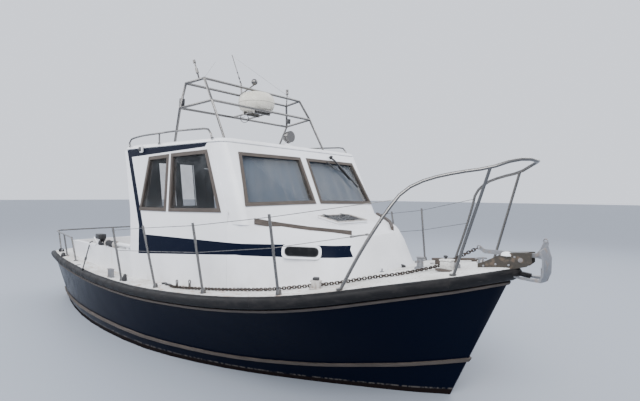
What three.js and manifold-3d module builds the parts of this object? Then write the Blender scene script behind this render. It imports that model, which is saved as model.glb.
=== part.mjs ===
// A sport fishing boat of about 7.5 m: displacement hull, trunk cabin, wheelhouse, gantry and bow gear.
// Millimetres. +X is forward, +Y is to port, +Z is up, and z = 0 is the waterline amidships.
import * as THREE from "three";
import { mergeVertices } from "three/addons/utils/BufferGeometryUtils.js";
import Module from "manifold-3d";

const wasm = await Module();
wasm.setup();

// Driving sizes
const GAP = 0.3; // between pieces that touch
const GROW = 0.35; // what a piece is grown by where its neighbour is cut to it
const DECK_THICK = 40;
const FENDER_HIGH = 100;
const FENDER_DEEP = 62;
const STRAKE_HIGH = 38;
const UPPER_STRAKE_HIGH = 30;
const UPPER_STRAKE_DROP = 115; // sheer to the top of the upper strake
const STRAKE_OUT = 20;
const KEEL_HALF = 12; // half width of the flat on keel and stem
const SOLE_Z = 400;
const SOLE_THICK = 30;
const WALL = 40; // wheelhouse panel
const TRUNK_WALL = 32;
const HOUSE_HALF = 1150; // wheelhouse half width at HOUSE_LOW
const HOUSE_HALF_TOP = 1125;
const HOUSE_LOW = 1130;
const HOUSE_TOP = 2330;
const AFT_X = -500; // aft edge of the wheelhouse side at HOUSE_LOW
const AFT_RAKE = -0.15;
const SCREEN_X = 1600; // windscreen face at SCREEN_Z
const SCREEN_Z = 1620;
const SCREEN_RAKE = -0.46;
const SEAM_X = 1400; // side panel meets the front moulding, at SCREEN_Z
const ROOF_SLOPE = 0.014;
const TRUNK_SLOPE = 0.213;
const TRUNK_TOP = 1560; // trunk top at SCREEN_X
const TUBE_R = 12.5;
const WIRE_R = 3;
const SHAFT_Z = -500;
const SHAFT_R = 18;
const PROP_X = -3010;
const PROP_R = 190;
const RUDDER_X = -3290;
const STOCK_R = 22;
const SHOE_Z = -800;

// Sheer, waterline and keel of each station, from the transom to the stem
const STATION_COLUMNS = ["sheerX", "sheerHalf", "sheerZ", "waterX", "waterHalf", "keelX", "keelZ", "strakeZ"];
const STATIONS = [
  [-3720, 880, 775, -3650, 700, -3640, -130, 120],
  [-3000, 1045, 760, -3000, 900, -3000, -270, 130],
  [-2000, 1215, 755, -2000, 1120, -2000, -390, 150],
  [-1000, 1345, 755, -1000, 1225, -1000, -460, 165],
  [0, 1400, 765, 0, 1215, 0, -500, 165],
  [800, 1407, 810, 800, 1065, 800, -510, 170],
  [1400, 1400, 862, 1400, 875, 1400, -505, 182],
  [1900, 1365, 920, 1900, 665, 1880, -490, 210],
  [2300, 1312, 980, 2270, 490, 2220, -470, 240],
  [2650, 1155, 1037, 2560, 345, 2460, -440, 275],
  [2950, 945, 1092, 2790, 225, 2640, -400, 300],
  [3200, 700, 1130, 2940, 140, 2760, -350, 325],
  [3400, 470, 1158, 3040, 75, 2850, -300, 340],
  [3560, 235, 1183, 3105, 33, 2920, -250, 350],
  [3690, KEEL_HALF, 1200, 3147, KEEL_HALF, 2975, -200, 355],
];
const STATION_STEP = 0.5;

// Half outline of the trunk cabin at the deck and at its top edge: x at deck, y at deck, x at top, y at top
const TRUNK_OUTLINE = [
  [1400.4, 1150, 1400.4, 1146],
  [1600, 1140, 1600, 1120],
  [1800, 1062, 1780, 1010],
  [1960, 985, 1920, 915],
  [2120, 895, 2060, 815],
  [2270, 790, 2190, 705],
  [2385, 665, 2290, 590],
  [2465, 520, 2355, 460],
  [2510, 350, 2385, 310],
  [2530, 170, 2400, 150],
  [2535, 5, 2403, 5],
];

// Window outlines on the starboard side, x and z, and on the starboard half of the front, y and z
const SIDE_WINDOWS = {
  aft: [[-274, 1584], [313, 1587], [352, 2226], [-77, 2216]],
  fore: [[367, 1587], [1304, 1607], [1054, 2234], [399, 2230]],
};
const SCREEN_WINDOW = [[-1065, 1672], [-39, 1687], [-50, 2216], [-957, 2210]];
const SIDE_FRAME_WIDE = 40;
const SCREEN_FRAME_WIDE = 36;
const FRAME_PROUD = 9;
const PANE_THICK = 6;
const PANE_BITE = 8; // how far a pane runs into its frame

const COLOURS = {
  navy: [0x10172c, 0.35, 0.0],
  white: [0xe9e9e6, 0.4, 0.0],
  rubber: [0x2a2a2c, 0.8, 0.0],
  wood: [0x7d6a58, 0.75, 0.0],
  steel: [0xb9bcc0, 0.25, 0.9],
  galvanised: [0x8f9294, 0.55, 0.7],
  glass: [0x2c3238, 0.08, 0.0],
  cream: [0xdcd8cb, 0.45, 0.0],
  rust: [0x6b4a35, 0.8, 0.3],
  bronze: [0x9a7b3f, 0.4, 0.8],
  teak: [0x8a6a48, 0.7, 0.0],
  dark: [0x1c1d1f, 0.5, 0.2],
  cloth: [0x8b94a2, 0.9, 0.0],
};

const boat = new THREE.Group();

// Turns a closed geometry into a solid that faces out
function solidOf(geometry) {
  const plain = new THREE.BufferGeometry();
  plain.setAttribute("position", geometry.getAttribute("position"));
  if (geometry.index) plain.setIndex(geometry.index);
  const merged = mergeVertices(plain, 1e-3);
  const triVerts = new Uint32Array(merged.index.array);
  const vertProperties = new Float32Array(merged.attributes.position.array);
  const made = new wasm.Manifold(new wasm.Mesh({ numProp: 3, vertProperties, triVerts }));
  if (made.volume() > 0) return made;
  for (let i = 0; i < triVerts.length; i += 3) {
    [triVerts[i + 1], triVerts[i + 2]] = [triVerts[i + 2], triVerts[i + 1]];
  }
  return new wasm.Manifold(new wasm.Mesh({ numProp: 3, vertProperties, triVerts }));
}

function geometryOf(solid) {
  const mesh = solid.getMesh();
  const geometry = new THREE.BufferGeometry();
  geometry.setAttribute("position", new THREE.BufferAttribute(new Float32Array(mesh.vertProperties), 3));
  geometry.setIndex(new THREE.BufferAttribute(new Uint32Array(mesh.triVerts), 1));
  return geometry;
}

// Names a piece and adds its mesh to the boat
function piece(name, solid, colour) {
  const [color, roughness, metalness] = COLOURS[colour];
  const geometry = geometryOf(solid);
  geometry.computeVertexNormals();
  const mesh = new THREE.Mesh(geometry, new THREE.MeshStandardMaterial({ color, roughness, metalness }));
  mesh.name = name;
  boat.add(mesh);
}

const join = (...parts) => parts.flat().reduce((sum, part) => sum.add(part));

// A solid cut by others, of which only the largest body is kept
function cut(solid, ...cutters) {
  const left = cutters.reduce((rest, cutter) => rest.subtract(cutter), solid).decompose();
  return left.reduce((big, body) => (body.volume() > big.volume() ? body : big));
}

const v3 = (x, y, z) => new THREE.Vector3(x, y, z);

// Moves every vertex of a geometry by a function of its place
function warp(geometry, place) {
  const position = geometry.getAttribute("position");
  const at = new THREE.Vector3();
  for (let i = 0; i < position.count; i++) {
    at.fromBufferAttribute(position, i);
    const [x, y, z] = place(at.x, at.y, at.z);
    position.setXYZ(i, x, y, z);
  }
  return geometry;
}

// The same solid on the other side of the centreline
const mirrored = (solid) => solidOf(warp(geometryOf(solid), (x, y, z) => [x, -y, z]));

// Closed body through rings of equal length, whose ends are closed across, first point to last
function loft(rings, loop = false) {
  const n = rings[0].length;
  const points = rings.flat().flat();
  const index = [];
  const last = loop ? rings.length : rings.length - 1;
  for (let r = 0; r < last; r++) {
    const next = (r + 1) % rings.length;
    for (let i = 0; i < n; i++) {
      const j = (i + 1) % n;
      index.push(r * n + i, r * n + j, next * n + j, r * n + i, next * n + j, next * n + i);
    }
  }
  if (!loop) {
    for (const [start, turn] of [[0, 0], [(rings.length - 1) * n, 1]]) {
      for (let i = 0; i < n / 2 - 1; i++) {
        const [a, b, c, d] = [start + i, start + i + 1, start + n - 2 - i, start + n - 1 - i];
        if (turn) index.push(a, b, c, a, c, d);
        else index.push(a, c, b, a, d, c);
      }
    }
  }
  const geometry = new THREE.BufferGeometry();
  geometry.setAttribute("position", new THREE.Float32BufferAttribute(points, 3));
  geometry.setIndex(index);
  return solidOf(geometry);
}

// An outline of [u, v] pairs extruded by depth, then placed by a function of u, v and depth
function panel(outline, depth, place, holes = []) {
  const shape = new THREE.Shape(outline.map(([u, v]) => new THREE.Vector2(u, v)));
  for (const hole of holes) shape.holes.push(new THREE.Path(hole.map(([u, v]) => new THREE.Vector2(u, v))));
  const geometry = new THREE.ExtrudeGeometry(shape, { depth, bevelEnabled: false, curveSegments: 6 });
  return solidOf(warp(geometry, place));
}

function box(x0, x1, y0, y1, z0, z1) {
  const geometry = new THREE.BoxGeometry(x1 - x0, y1 - y0, z1 - z0);
  geometry.translate((x0 + x1) / 2, (y0 + y1) / 2, (z0 + z1) / 2);
  return solidOf(geometry);
}

// Round bar between two points
function rod(a, b, radius, sides = 8) {
  const [from, to] = [v3(...a), v3(...b)];
  const geometry = new THREE.CylinderGeometry(radius, radius, from.distanceTo(to), sides);
  const along = to.clone().sub(from).normalize();
  geometry.applyQuaternion(new THREE.Quaternion().setFromUnitVectors(v3(0, 1, 0), along));
  geometry.translate(...from.clone().add(to).multiplyScalar(0.5).toArray());
  return solidOf(geometry);
}

const ball = (at, radius, sides = 8) =>
  solidOf(new THREE.SphereGeometry(radius, sides, sides * 0.75).translate(...at));

// Round bar along a smooth curve through points
function tube(points, radius, steps, sides = 8) {
  const curve = new THREE.CatmullRomCurve3(points.map((p) => v3(...p)), false, "centripetal");
  const ring = [];
  for (let i = 0; i < sides; i++) {
    const turn = (i / sides) * 2 * Math.PI;
    ring.push(new THREE.Vector2(radius * Math.cos(turn), radius * Math.sin(turn)));
  }
  const settings = { steps, bevelEnabled: false, extrudePath: curve };
  return solidOf(new THREE.ExtrudeGeometry(new THREE.Shape(ring), settings));
}

// Turned body: profile of [radius, height] pairs on an axis from a point
function turned(profile, at, along = [0, 0, 1], sides = 20) {
  const geometry = new THREE.LatheGeometry(profile.map(([r, h]) => new THREE.Vector2(r, h)), sides);
  geometry.applyQuaternion(new THREE.Quaternion().setFromUnitVectors(v3(0, 1, 0), v3(...along).normalize()));
  geometry.translate(...at);
  return solidOf(geometry);
}

// A convex outline moved in by a distance, or out by a negative one
function inset(outline, distance) {
  const area = outline.reduce((sum, [u, v], i) => {
    const [s, t] = outline[(i + 1) % outline.length];
    return sum + u * t - s * v;
  }, 0);
  const side = Math.sign(area);
  return outline.map(([u, v], i) => {
    const [pu, pv] = outline[(i + outline.length - 1) % outline.length];
    const [nu, nv] = outline[(i + 1) % outline.length];
    const before = Math.hypot(u - pu, v - pv);
    const after = Math.hypot(nu - u, nv - v);
    const n1 = [(-(v - pv) / before) * side, ((u - pu) / before) * side];
    const n2 = [(-(nv - v) / after) * side, ((nu - u) / after) * side];
    const k = distance / (1 + n1[0] * n2[0] + n1[1] * n2[1]);
    return [u + (n1[0] + n2[0]) * k, v + (n1[1] + n2[1]) * k];
  });
}

// An outline with its corners turned to arcs
function rounded(outline, radius, steps = 3) {
  const points = [];
  outline.forEach(([u, v], i) => {
    const before = outline[(i + outline.length - 1) % outline.length];
    const after = outline[(i + 1) % outline.length];
    const corner = new THREE.Vector2(u, v);
    const start = new THREE.Vector2(...before).sub(corner).setLength(radius).add(corner);
    const end = new THREE.Vector2(...after).sub(corner).setLength(radius).add(corner);
    const arc = new THREE.QuadraticBezierCurve(start, corner, end);
    points.push(...arc.getPoints(steps).map((p) => [p.x, p.y]));
  });
  return points;
}

const rectangle = (wide, high) => [
  [-wide / 2, -high / 2],
  [wide / 2, -high / 2],
  [wide / 2, high / 2],
  [-wide / 2, high / 2],
];

// The value of one column of the station table at a fraction of its rows, on a smooth curve
function column(name, at) {
  const k = STATION_COLUMNS.indexOf(name);
  const row = Math.min(Math.floor(at), STATIONS.length - 2);
  const t = at - row;
  const value = (r) => STATIONS[Math.min(Math.max(r, 0), STATIONS.length - 1)][k];
  const [a, b, c, d] = [value(row - 1), value(row), value(row + 1), value(row + 2)];
  return b + 0.5 * t * (c - a + t * (2 * a - 5 * b + 4 * c - d + t * (3 * (b - c) + d - a)));
}

function station(at) {
  return Object.fromEntries(STATION_COLUMNS.map((name) => [name, column(name, at)]));
}

const stationPlaces = [];
for (let at = 0; at <= STATIONS.length - 1; at += STATION_STEP) stationPlaces.push(at);

// Half breadth and length of the hull surface at a height above the water
function topside(s, z) {
  const full = s.sheerZ - FENDER_HIGH;
  const flare = 1 + 0.25 * THREE.MathUtils.smoothstep(s.sheerX, 1500, 3000);
  const y = s.waterHalf + (s.sheerHalf - s.waterHalf) * Math.min(z / full, 1) ** flare;
  const x = s.waterX + (s.sheerX - s.waterX) * (z / s.sheerZ);
  return [x, y];
}

// Heights of the rows of a section above the water
function sectionRows(s) {
  const top = s.sheerZ - DECK_THICK;
  const upper = s.sheerZ - UPPER_STRAKE_DROP;
  const mid = (s.strakeZ + upper) / 2;
  return [0, s.strakeZ - STRAKE_HIGH / 2, s.strakeZ + STRAKE_HIGH / 2, mid,
    upper - UPPER_STRAKE_HIGH, upper, s.sheerZ - FENDER_HIGH, top];
}

// Depth fraction and breadth fraction of the rows of a section below the water
const BILGE_ROWS = [[1, 0.12], [0.86, 0.42], [0.6, 0.72], [0.3, 0.92]];

function hullSolid(grow) {
  const rings = stationPlaces.map((at) => {
    const s = station(at);
    const half = BILGE_ROWS.map(([u, b]) => {
      const x = s.waterX + (s.keelX - s.waterX) * u;
      return [x, Math.max(s.waterHalf * b, KEEL_HALF), s.keelZ * u];
    });
    for (const z of sectionRows(s)) half.push([...topside(s, z), z]);
    const end = at === 0 ? -grow : at === STATIONS.length - 1 ? grow : 0;
    const grown = half.map(([x, y, z], i) => [x + end, y + grow, i === half.length - 1 ? z + grow : z]);
    return [...grown.map(([x, y, z]) => [x, -y, z]), ...grown.reverse()];
  });
  return loft(rings);
}

const crown = (half) => 10 + 0.025 * half;

function deckSolid(grow) {
  const rings = stationPlaces.map((at) => {
    const s = station(at);
    const low = s.sheerZ - DECK_THICK + GAP - grow;
    const end = at === 0 ? -grow : at === STATIONS.length - 1 ? grow : 0;
    const [xLow] = topside(s, s.sheerZ - DECK_THICK);
    const half = [
      [xLow + end, s.sheerHalf + grow, low],
      [s.sheerX + end, s.sheerHalf + grow, s.sheerZ + grow],
      [s.sheerX + end, s.sheerHalf * 0.6, s.sheerZ + crown(s.sheerHalf) * 0.7 + grow],
      [s.sheerX + end, KEEL_HALF / 3, s.sheerZ + crown(s.sheerHalf) + grow],
    ];
    return [...half.map(([x, y, z]) => [x, -y, z]), ...half.reverse()];
  });
  return loft(rings);
}

// Height of the deck surface at a place
function deckZ(x, y) {
  let at = 0;
  while (at < STATIONS.length - 1 && column("sheerX", at) < x) at += 0.05;
  const s = station(at);
  const rise = crown(s.sheerHalf);
  const side = Math.abs(y) / s.sheerHalf;
  return s.sheerZ + (side > 0.6 ? (rise * 0.7 * (1 - side)) / 0.4 : rise * (0.7 + (0.3 * (0.6 - side)) / 0.6));
}

// The wells under the cockpit, the wheelhouse and the trunk cabin, as [x, half breadth] rows
const COCKPIT_WELL = [[-2930, 800], [-1500, 1000], [-460, 1080]];
const HOUSE_WELL = [[-460, 1080], [1300, 1080], [1600, 900], [1950, 640], [2200, 420]];
const ENGINE_PIT = [-180, 640, 340]; // x from, x to, half breadth
const PIT_Z = -180;

function wellSolid(rows, low, high) {
  const outline = [...rows.map(([x, y]) => [x, -y]), ...rows.map(([x, y]) => [x, y]).reverse()];
  return panel(outline, high - low, (u, v, d) => [u, v, low + d]);
}

const WELL_TOP = 1400;
const wells = join(
  wellSolid(COCKPIT_WELL, SOLE_Z - SOLE_THICK, WELL_TOP),
  wellSolid(HOUSE_WELL.map(([x, y]) => [x, Math.min(y, 1080)]), SOLE_Z - SOLE_THICK, WELL_TOP),
);
const pit = box(ENGINE_PIT[0], ENGINE_PIT[1], -ENGINE_PIT[2], ENGINE_PIT[2], PIT_Z, SOLE_Z);

// Deadwood and rudder shoe under the hull
const keelSide = [[2420, -330], [2250, -470], [1500, -600], [-2700, SHOE_Z], [-2850, SHOE_Z], [-2850, -150],
  [2300, -150]];
const deadwood = panel(keelSide, 90, (x, z, d) => [x, d - 45, z]);
const shoe = box(-3480, -2800, -28, 28, SHOE_Z, SHOE_Z + 42);
const sternTube = join(
  rod([-2870, 0, SHAFT_Z], [-2600, 0, SHAFT_Z], 48, 16),
  rod([-2862, 0, SHAFT_Z], [-2600, 0, SHAFT_Z], 50, 16),
);
const shaftBore = rod([-2900, 0, SHAFT_Z], [-2640, 0, SHAFT_Z], SHAFT_R + 0.6, 24);
const stockBore = rod([RUDDER_X, 0, -400], [RUDDER_X, 0, 130], STOCK_R + 3, 24);
const pintleBore = rod([RUDDER_X, 0, SHOE_Z + 12], [RUDDER_X, 0, SHOE_Z + 80], 13, 16);
const hull = join(hullSolid(0), deadwood, shoe, sternTube)
  .subtract(shaftBore).subtract(stockBore).subtract(pintleBore)
  .subtract(wells).subtract(pit);
piece("hull", hull, "navy");
const hullGrown = hullSolid(GROW);
const deckGrown = deckSolid(GROW);
const under = hullGrown.add(deckGrown); // all that lies below the deck surface, wells included
piece("deck", deckSolid(0).subtract(wells), "white");

// The belt and strakes follow the hull surface between two heights above the water. Their section runs
// round in the order that gives their inner face the same triangles as the hull has there.
function belt(heights, section, loop) {
  const side = stationPlaces.map((at) => {
    const s = station(at);
    const [low, high] = heights(s);
    const mid = (low + high) / 2;
    const [x, y] = topside(s, mid);
    return { x, y: -y, s, low, high };
  });
  const path = [...side, ...side.map((p) => ({ ...p, y: -p.y })).reverse()];
  const rings = path.map((p, i) => {
    const before = path[loop ? (i + path.length - 1) % path.length : Math.max(i - 1, 0)];
    const after = path[loop ? (i + 1) % path.length : Math.min(i + 1, path.length - 1)];
    const edge = (a, b) => {
      const length = Math.hypot(b.x - a.x, b.y - a.y);
      return length ? [(b.y - a.y) / length, -(b.x - a.x) / length] : null;
    };
    const n1 = edge(before, p) ?? edge(p, after);
    const n2 = edge(p, after) ?? edge(before, p);
    const share = Math.max(1 + n1[0] * n2[0] + n1[1] * n2[1], 0.7);
    const out = [(n1[0] + n2[0]) / share, (n1[1] + n2[1]) / share];
    return section.map(([depth, up]) => {
      const z = p.low + (p.high - p.low) * up;
      const [x, y] = topside(p.s, z);
      return [x + out[0] * depth, Math.sign(p.y) * y + out[1] * depth, z];
    });
  });
  return loft(rings, loop);
}

const SEAT = 0.5; // belt and strakes stand this far off the hull surface
const DECK_SHARE = 1 - DECK_THICK / FENDER_HIGH; // share of the belt's height at which hull meets deck
const fenderSection = (inner, grow) => [
  [inner, 0], [inner, DECK_SHARE], [inner, 1], [34 + grow, 1], [56 + grow, 0.8],
  [FENDER_DEEP + grow, 0.5], [56 + grow, 0.2], [34 + grow, 0],
];
const STRAKE_SECTION = [[SEAT, 0], [SEAT, 1], [STRAKE_OUT, 0.88], [STRAKE_OUT, 0.12]];
const fenderHeights = (s) => [s.sheerZ - FENDER_HIGH, s.sheerZ];
const fenderGrown = belt((s) => [s.sheerZ - FENDER_HIGH - 1, s.sheerZ + GROW], fenderSection(-3, GROW), true);
piece("fenderBelt", belt(fenderHeights, fenderSection(SEAT, 0), true), "rubber");
const upperHeights = (s) => [s.sheerZ - UPPER_STRAKE_DROP - UPPER_STRAKE_HIGH, s.sheerZ - UPPER_STRAKE_DROP];
piece("upperStrake", belt(upperHeights, STRAKE_SECTION, false), "wood");
const lowerHeights = (s) => [s.strakeZ - STRAKE_HIGH / 2, s.strakeZ + STRAKE_HIGH / 2];
piece("lowerStrake", belt(lowerHeights, STRAKE_SECTION, false), "wood");

// Rudder on its stock, and a three-bladed propeller on its shaft
const RUDDER_SIDE = [[RUDDER_X + 70, -745], [RUDDER_X - 250, -745], [RUDDER_X - 290, -330], [RUDDER_X + 55, -300]];
const blade = panel(RUDDER_SIDE, 24, (x, z, d) => [x, d - 12, z]);
const stock = rod([RUDDER_X, 0, -748], [RUDDER_X, 0, 120], STOCK_R, 16);
const pintle = rod([RUDDER_X, 0, SHOE_Z + 16], [RUDDER_X, 0, -700], 12, 16);
piece("rudder", join(blade, stock, pintle), "navy");

const propBlades = [];
for (let i = 0; i < 3; i++) {
  const outline = [[0, 0], [70, 55], [78, 110], [45, 165], [0, PROP_R], [-45, 165], [-78, 110], [-70, 55]];
  const turn = (i / 3) * 2 * Math.PI;
  propBlades.push(panel(outline, 9, (u, v, d) => {
    const pitch = 0.95 - v * 0.0022;
    const x = PROP_X + u * Math.sin(pitch) + (d - 4.5) * Math.cos(pitch);
    const side = u * Math.cos(pitch) - (d - 4.5) * Math.sin(pitch);
    return [x, side * Math.cos(turn) - v * Math.sin(turn), SHAFT_Z + side * Math.sin(turn) + v * Math.cos(turn)];
  }));
}
const boss = turned([[0, -65], [28, -60], [42, 0], [44, 62], [0, 62]], [PROP_X, 0, SHAFT_Z], [1, 0, 0], 16);
const shaft = rod([PROP_X, 0, SHAFT_Z], [-2660, 0, SHAFT_Z], SHAFT_R, 16);
piece("propeller", join(boss, shaft, ...propBlades), "bronze");

// Trunk cabin, a shell open below and aft
const trunkTopZ = (x) => TRUNK_TOP - TRUNK_SLOPE * (x - SCREEN_X);
const TRUNK_CROWN = 14;
// Rows of the trunk's surface: share of its height, distance in from the edge, height over the plain slope
const TRUNK_LEVELS = [[0, 0, 0], [0.84, 0, 0], [1, 26, 0], [1, 120, 8], [1, 420, TRUNK_CROWN]];

function trunkSolid(grow, wall, low, aft) {
  const rings = TRUNK_LEVELS.map(([up, shrink, rise]) => {
    const half = TRUNK_OUTLINE.map(([x0, y0, x1, y1], i) => {
      const x = x0 + (x1 - x0) * up - (i ? shrink * (x0 - 1400) / 1135 : 0) + grow - wall;
      const y = Math.max(y0 + (y1 - y0) * up - shrink * (y0 / 1150) + grow - wall, 3);
      const top = trunkTopZ(x) + rise + grow - wall;
      const z = up === 0 ? low : low + (top - low) * (up === 1 ? 1 : up);
      return [i ? x : aft, y, up === 1 && shrink === 26 ? z - 8 : z];
    });
    return [...half.map(([x, y, z]) => [x, -y, z]), ...half.reverse()];
  });
  return loft(rings);
}

const trunkOuter = trunkSolid(0, 0, 700, TRUNK_OUTLINE[0][0]);
const trunkGrown = trunkSolid(GROW, 0, 700, TRUNK_OUTLINE[0][0] - GROW);
const trunkInner = trunkSolid(0, TRUNK_WALL, 600, 1300);

// Portlight, a rounded plate in the slanting side of the trunk
const PORTLIGHT = { at: [2085, -835, 1265], long: 363, high: 131, radius: 56, thick: 52 };
function portlightSolid(grow) {
  const outline = rounded(inset(rectangle(PORTLIGHT.long, PORTLIGHT.high), -grow), PORTLIGHT.radius, 4);
  const along = v3(0.785, 0.62, -0.03).normalize();
  const normal = v3(0.6, -0.76, 0.24).normalize();
  const up = normal.clone().cross(along).normalize();
  const out = along.clone().cross(up);
  return panel(outline, PORTLIGHT.thick + 2 * grow, (u, v, d) => {
    const p = v3(...PORTLIGHT.at).addScaledVector(along, u).addScaledVector(up, v);
    p.addScaledVector(out, d - PORTLIGHT.thick * 0.7 - grow);
    return p.toArray();
  });
}

// Deck hatch on the sloping trunk top
const HATCH = { x0: 1775, x1: 2070, half: 275, frame: 34, high: 13, lid: 14 };
const hatchTop = (x, d) => trunkTopZ(x) + TRUNK_CROWN + d;
function hatchRing(grow, from, to) {
  const outline = [[HATCH.x0 - grow, -HATCH.half - grow], [HATCH.x1 + grow, -HATCH.half - grow],
    [HATCH.x1 + grow, HATCH.half + grow], [HATCH.x0 - grow, HATCH.half + grow]];
  return [rounded(outline, 40), to - from, (x, y, d) => [x, y, hatchTop(x, from + d)]];
}
const hatchInside = [[HATCH.x0 + HATCH.frame, -HATCH.half + HATCH.frame],
  [HATCH.x1 - HATCH.frame, -HATCH.half + HATCH.frame],
  [HATCH.x1 - HATCH.frame, HATCH.half - HATCH.frame], [HATCH.x0 + HATCH.frame, HATCH.half - HATCH.frame]];
const hatchCut = panel(rounded(hatchInside, 30), 200, (x, y, d) => [x, y, hatchTop(x, d - 150)]);
const trunk = trunkOuter.subtract(trunkInner).subtract(under).subtract(hatchCut)
  .subtract(portlightSolid(GROW)).subtract(mirrored(portlightSolid(GROW)));
piece("trunk", trunk, "white");
const portlight = portlightSolid(0);
piece("portlightStarboard", portlight, "white");
piece("portlightPort", mirrored(portlight), "white");
const HATCH_PIN = { x: 1764, r: 5, knuckle: 10, y: 150, wide: 40, lug: 9 };
const pinZ = hatchTop(HATCH.x0, HATCH.high + 8);
const hatchPin = (y, long, r) => rod([HATCH_PIN.x, y - long / 2, pinZ], [HATCH_PIN.x, y + long / 2, pinZ], r, 10);
const lugs = [-1, 1].flatMap((side) => [-1, 1].map((end) => {
  const y = side * HATCH_PIN.y + end * (HATCH_PIN.wide / 2 + GAP + HATCH_PIN.lug / 2);
  return join(hatchPin(y, HATCH_PIN.lug, 11), box(HATCH_PIN.x - 11, HATCH.x0 + 3, y - HATCH_PIN.lug / 2,
    y + HATCH_PIN.lug / 2, pinZ - 40, pinZ));
}));
const pinHoles = [-1, 1].map((side) => hatchPin(side * HATCH_PIN.y, HATCH_PIN.wide + 40, HATCH_PIN.r + GAP));
const hatchBody = join(panel(...hatchRing(0, -60, HATCH.high)), ...lugs);
piece("hatchFrame", cut(hatchBody, hatchCut, trunkGrown, ...pinHoles), "white");
const knuckles = [-1, 1].flatMap((side) => [
  hatchPin(side * HATCH_PIN.y, HATCH_PIN.wide, HATCH_PIN.knuckle),
  hatchPin(side * HATCH_PIN.y, HATCH_PIN.wide + 2 * HATCH_PIN.lug, HATCH_PIN.r),
  box(HATCH_PIN.x, HATCH.x0 + 30, side * HATCH_PIN.y - HATCH_PIN.wide / 2, side * HATCH_PIN.y + HATCH_PIN.wide / 2,
    pinZ + 1, pinZ + 9),
]);
const LID_UP = 5; // from the frame to the lid, where its seal is
const hatchLid = panel(...hatchRing(-4, HATCH.high + LID_UP, HATCH.high + LID_UP + HATCH.lid));
piece("hatchLid", join(hatchLid, ...knuckles), "glass");

// Wood handrails on the trunk top, as rows of x, half breadth and height over the plain slope
const WOOD_RAIL = { high: 26, wide: 30, bite: 30 };
const WOOD_RAIL_LINE = [
  [1680, 1045, -5],
  [1775, 975, -4],
  [1871, 901, -2],
  [1974, 808, 2],
  [2074, 709, 4],
  [2190, 548, 8],
  [2308, 377, 12],
];
function woodRail() {
  const rings = WOOD_RAIL_LINE.map(([x, y, lift], i) => {
    const [backX, backY] = WOOD_RAIL_LINE[Math.max(i - 1, 0)];
    const [nextX, nextY] = WOOD_RAIL_LINE[Math.min(i + 1, WOOD_RAIL_LINE.length - 1)];
    const share = WOOD_RAIL.wide / 2 / Math.hypot(nextX - backX, nextY - backY);
    const [sideX, sideY] = [(nextY - backY) * share, (nextX - backX) * share];
    const low = trunkTopZ(x) + lift - WOOD_RAIL.bite;
    const high = trunkTopZ(x) + lift + WOOD_RAIL.high;
    const [x0, y0, x1, y1] = [x - sideX, -y - sideY, x + sideX, -y + sideY];
    return [[x0, y0, low], [x0, y0, high], [x1, y1, high], [x1, y1, low]];
  });
  return loft(rings).subtract(trunkGrown).subtract(mirrored(trunkGrown));
}
piece("woodRailStarboard", woodRail(), "wood");
piece("woodRailPort", mirrored(woodRail()), "wood");

// Wheelhouse: places on the side and on the front
const sideY = (z) => HOUSE_HALF + ((HOUSE_HALF_TOP - HOUSE_HALF) * (z - HOUSE_LOW)) / (HOUSE_TOP - HOUSE_LOW);
const sidePlace = (x, z, d) => [x, -(sideY(z) - d), z];
const aftX = (z) => AFT_X + AFT_RAKE * (z - HOUSE_LOW);
const rake = (z) => SCREEN_RAKE * (z - SCREEN_Z);
const roofZ = (x) => 2300 + ROOF_SLOPE * (1100 - x);
const screenPlace = (y, z, d) => [SCREEN_X + rake(z) - d, y, z];

const SIDE_LOW = 740;
const SIDE_AFT = -481; // aft edge of the side below the turn
const SIDE_TOP = [-679, 1090]; // ends of its top edge
const sideOutline = [
  [SIDE_AFT, SIDE_LOW],
  [SEAM_X - GAP, SIDE_LOW],
  [SEAM_X - GAP, SCREEN_Z],
  [SEAM_X - GAP + rake(roofZ(SIDE_TOP[1])), roofZ(SIDE_TOP[1])],
  [SIDE_TOP[0], roofZ(SIDE_TOP[0])],
  [-617, 2080],
  [-556, 1804],
  [-520, 1640],
  [-500, 1519],
  [-484, 1300],
  [SIDE_AFT, 1140],
];
const sidePanel = panel(sideOutline, WALL, sidePlace);
const windows = Object.values(SIDE_WINDOWS);
const sideHoles = windows.map((w) => panel(inset(w, -GAP), WALL + 120, (x, z, d) => sidePlace(x, z, d - 60)));
const houseSide = sidePanel.subtract(join(sideHoles)).subtract(under);
piece("houseSideStarboard", houseSide, "white");
piece("houseSidePort", mirrored(houseSide), "white");

// A window frame, and the pane that sits in its groove
function framed(outline, wide, place, deep) {
  const inner = inset(outline, wide);
  const frame = panel(outline, deep + FRAME_PROUD, (u, v, d) => place(u, v, d - FRAME_PROUD), [inner]);
  const edge = inset(outline, wide - PANE_BITE);
  const pane = panel(edge, PANE_THICK, (u, v, d) => place(u, v, d + 12));
  const groove = panel(inset(edge, -GAP), PANE_THICK + 2 * GAP, (u, v, d) => place(u, v, d + 12 - GAP));
  return { frame: frame.subtract(groove), pane };
}

const sideFrames = windows.map((w) => framed(w, SIDE_FRAME_WIDE, sidePlace, WALL + 8));
const STRIP = [[300, 1650], [420, 1650], [420, 2150], [320, 2150]]; // inside, across the post between the windows
const strip = panel(STRIP, 8, (x, z, d) => sidePlace(x, z, d + WALL + GAP));
const sideFrame = join(sideFrames[0].frame, strip, sideFrames[1].frame);
piece("sideFrameStarboard", sideFrame, "wood");
piece("sideFramePort", mirrored(sideFrame), "wood");
["Aft", "Fore"].forEach((name, i) => {
  piece("sidePane" + name + "Starboard", sideFrames[i].pane, "glass");
  piece("sidePane" + name + "Port", mirrored(sideFrames[i].pane), "glass");
});

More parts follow.
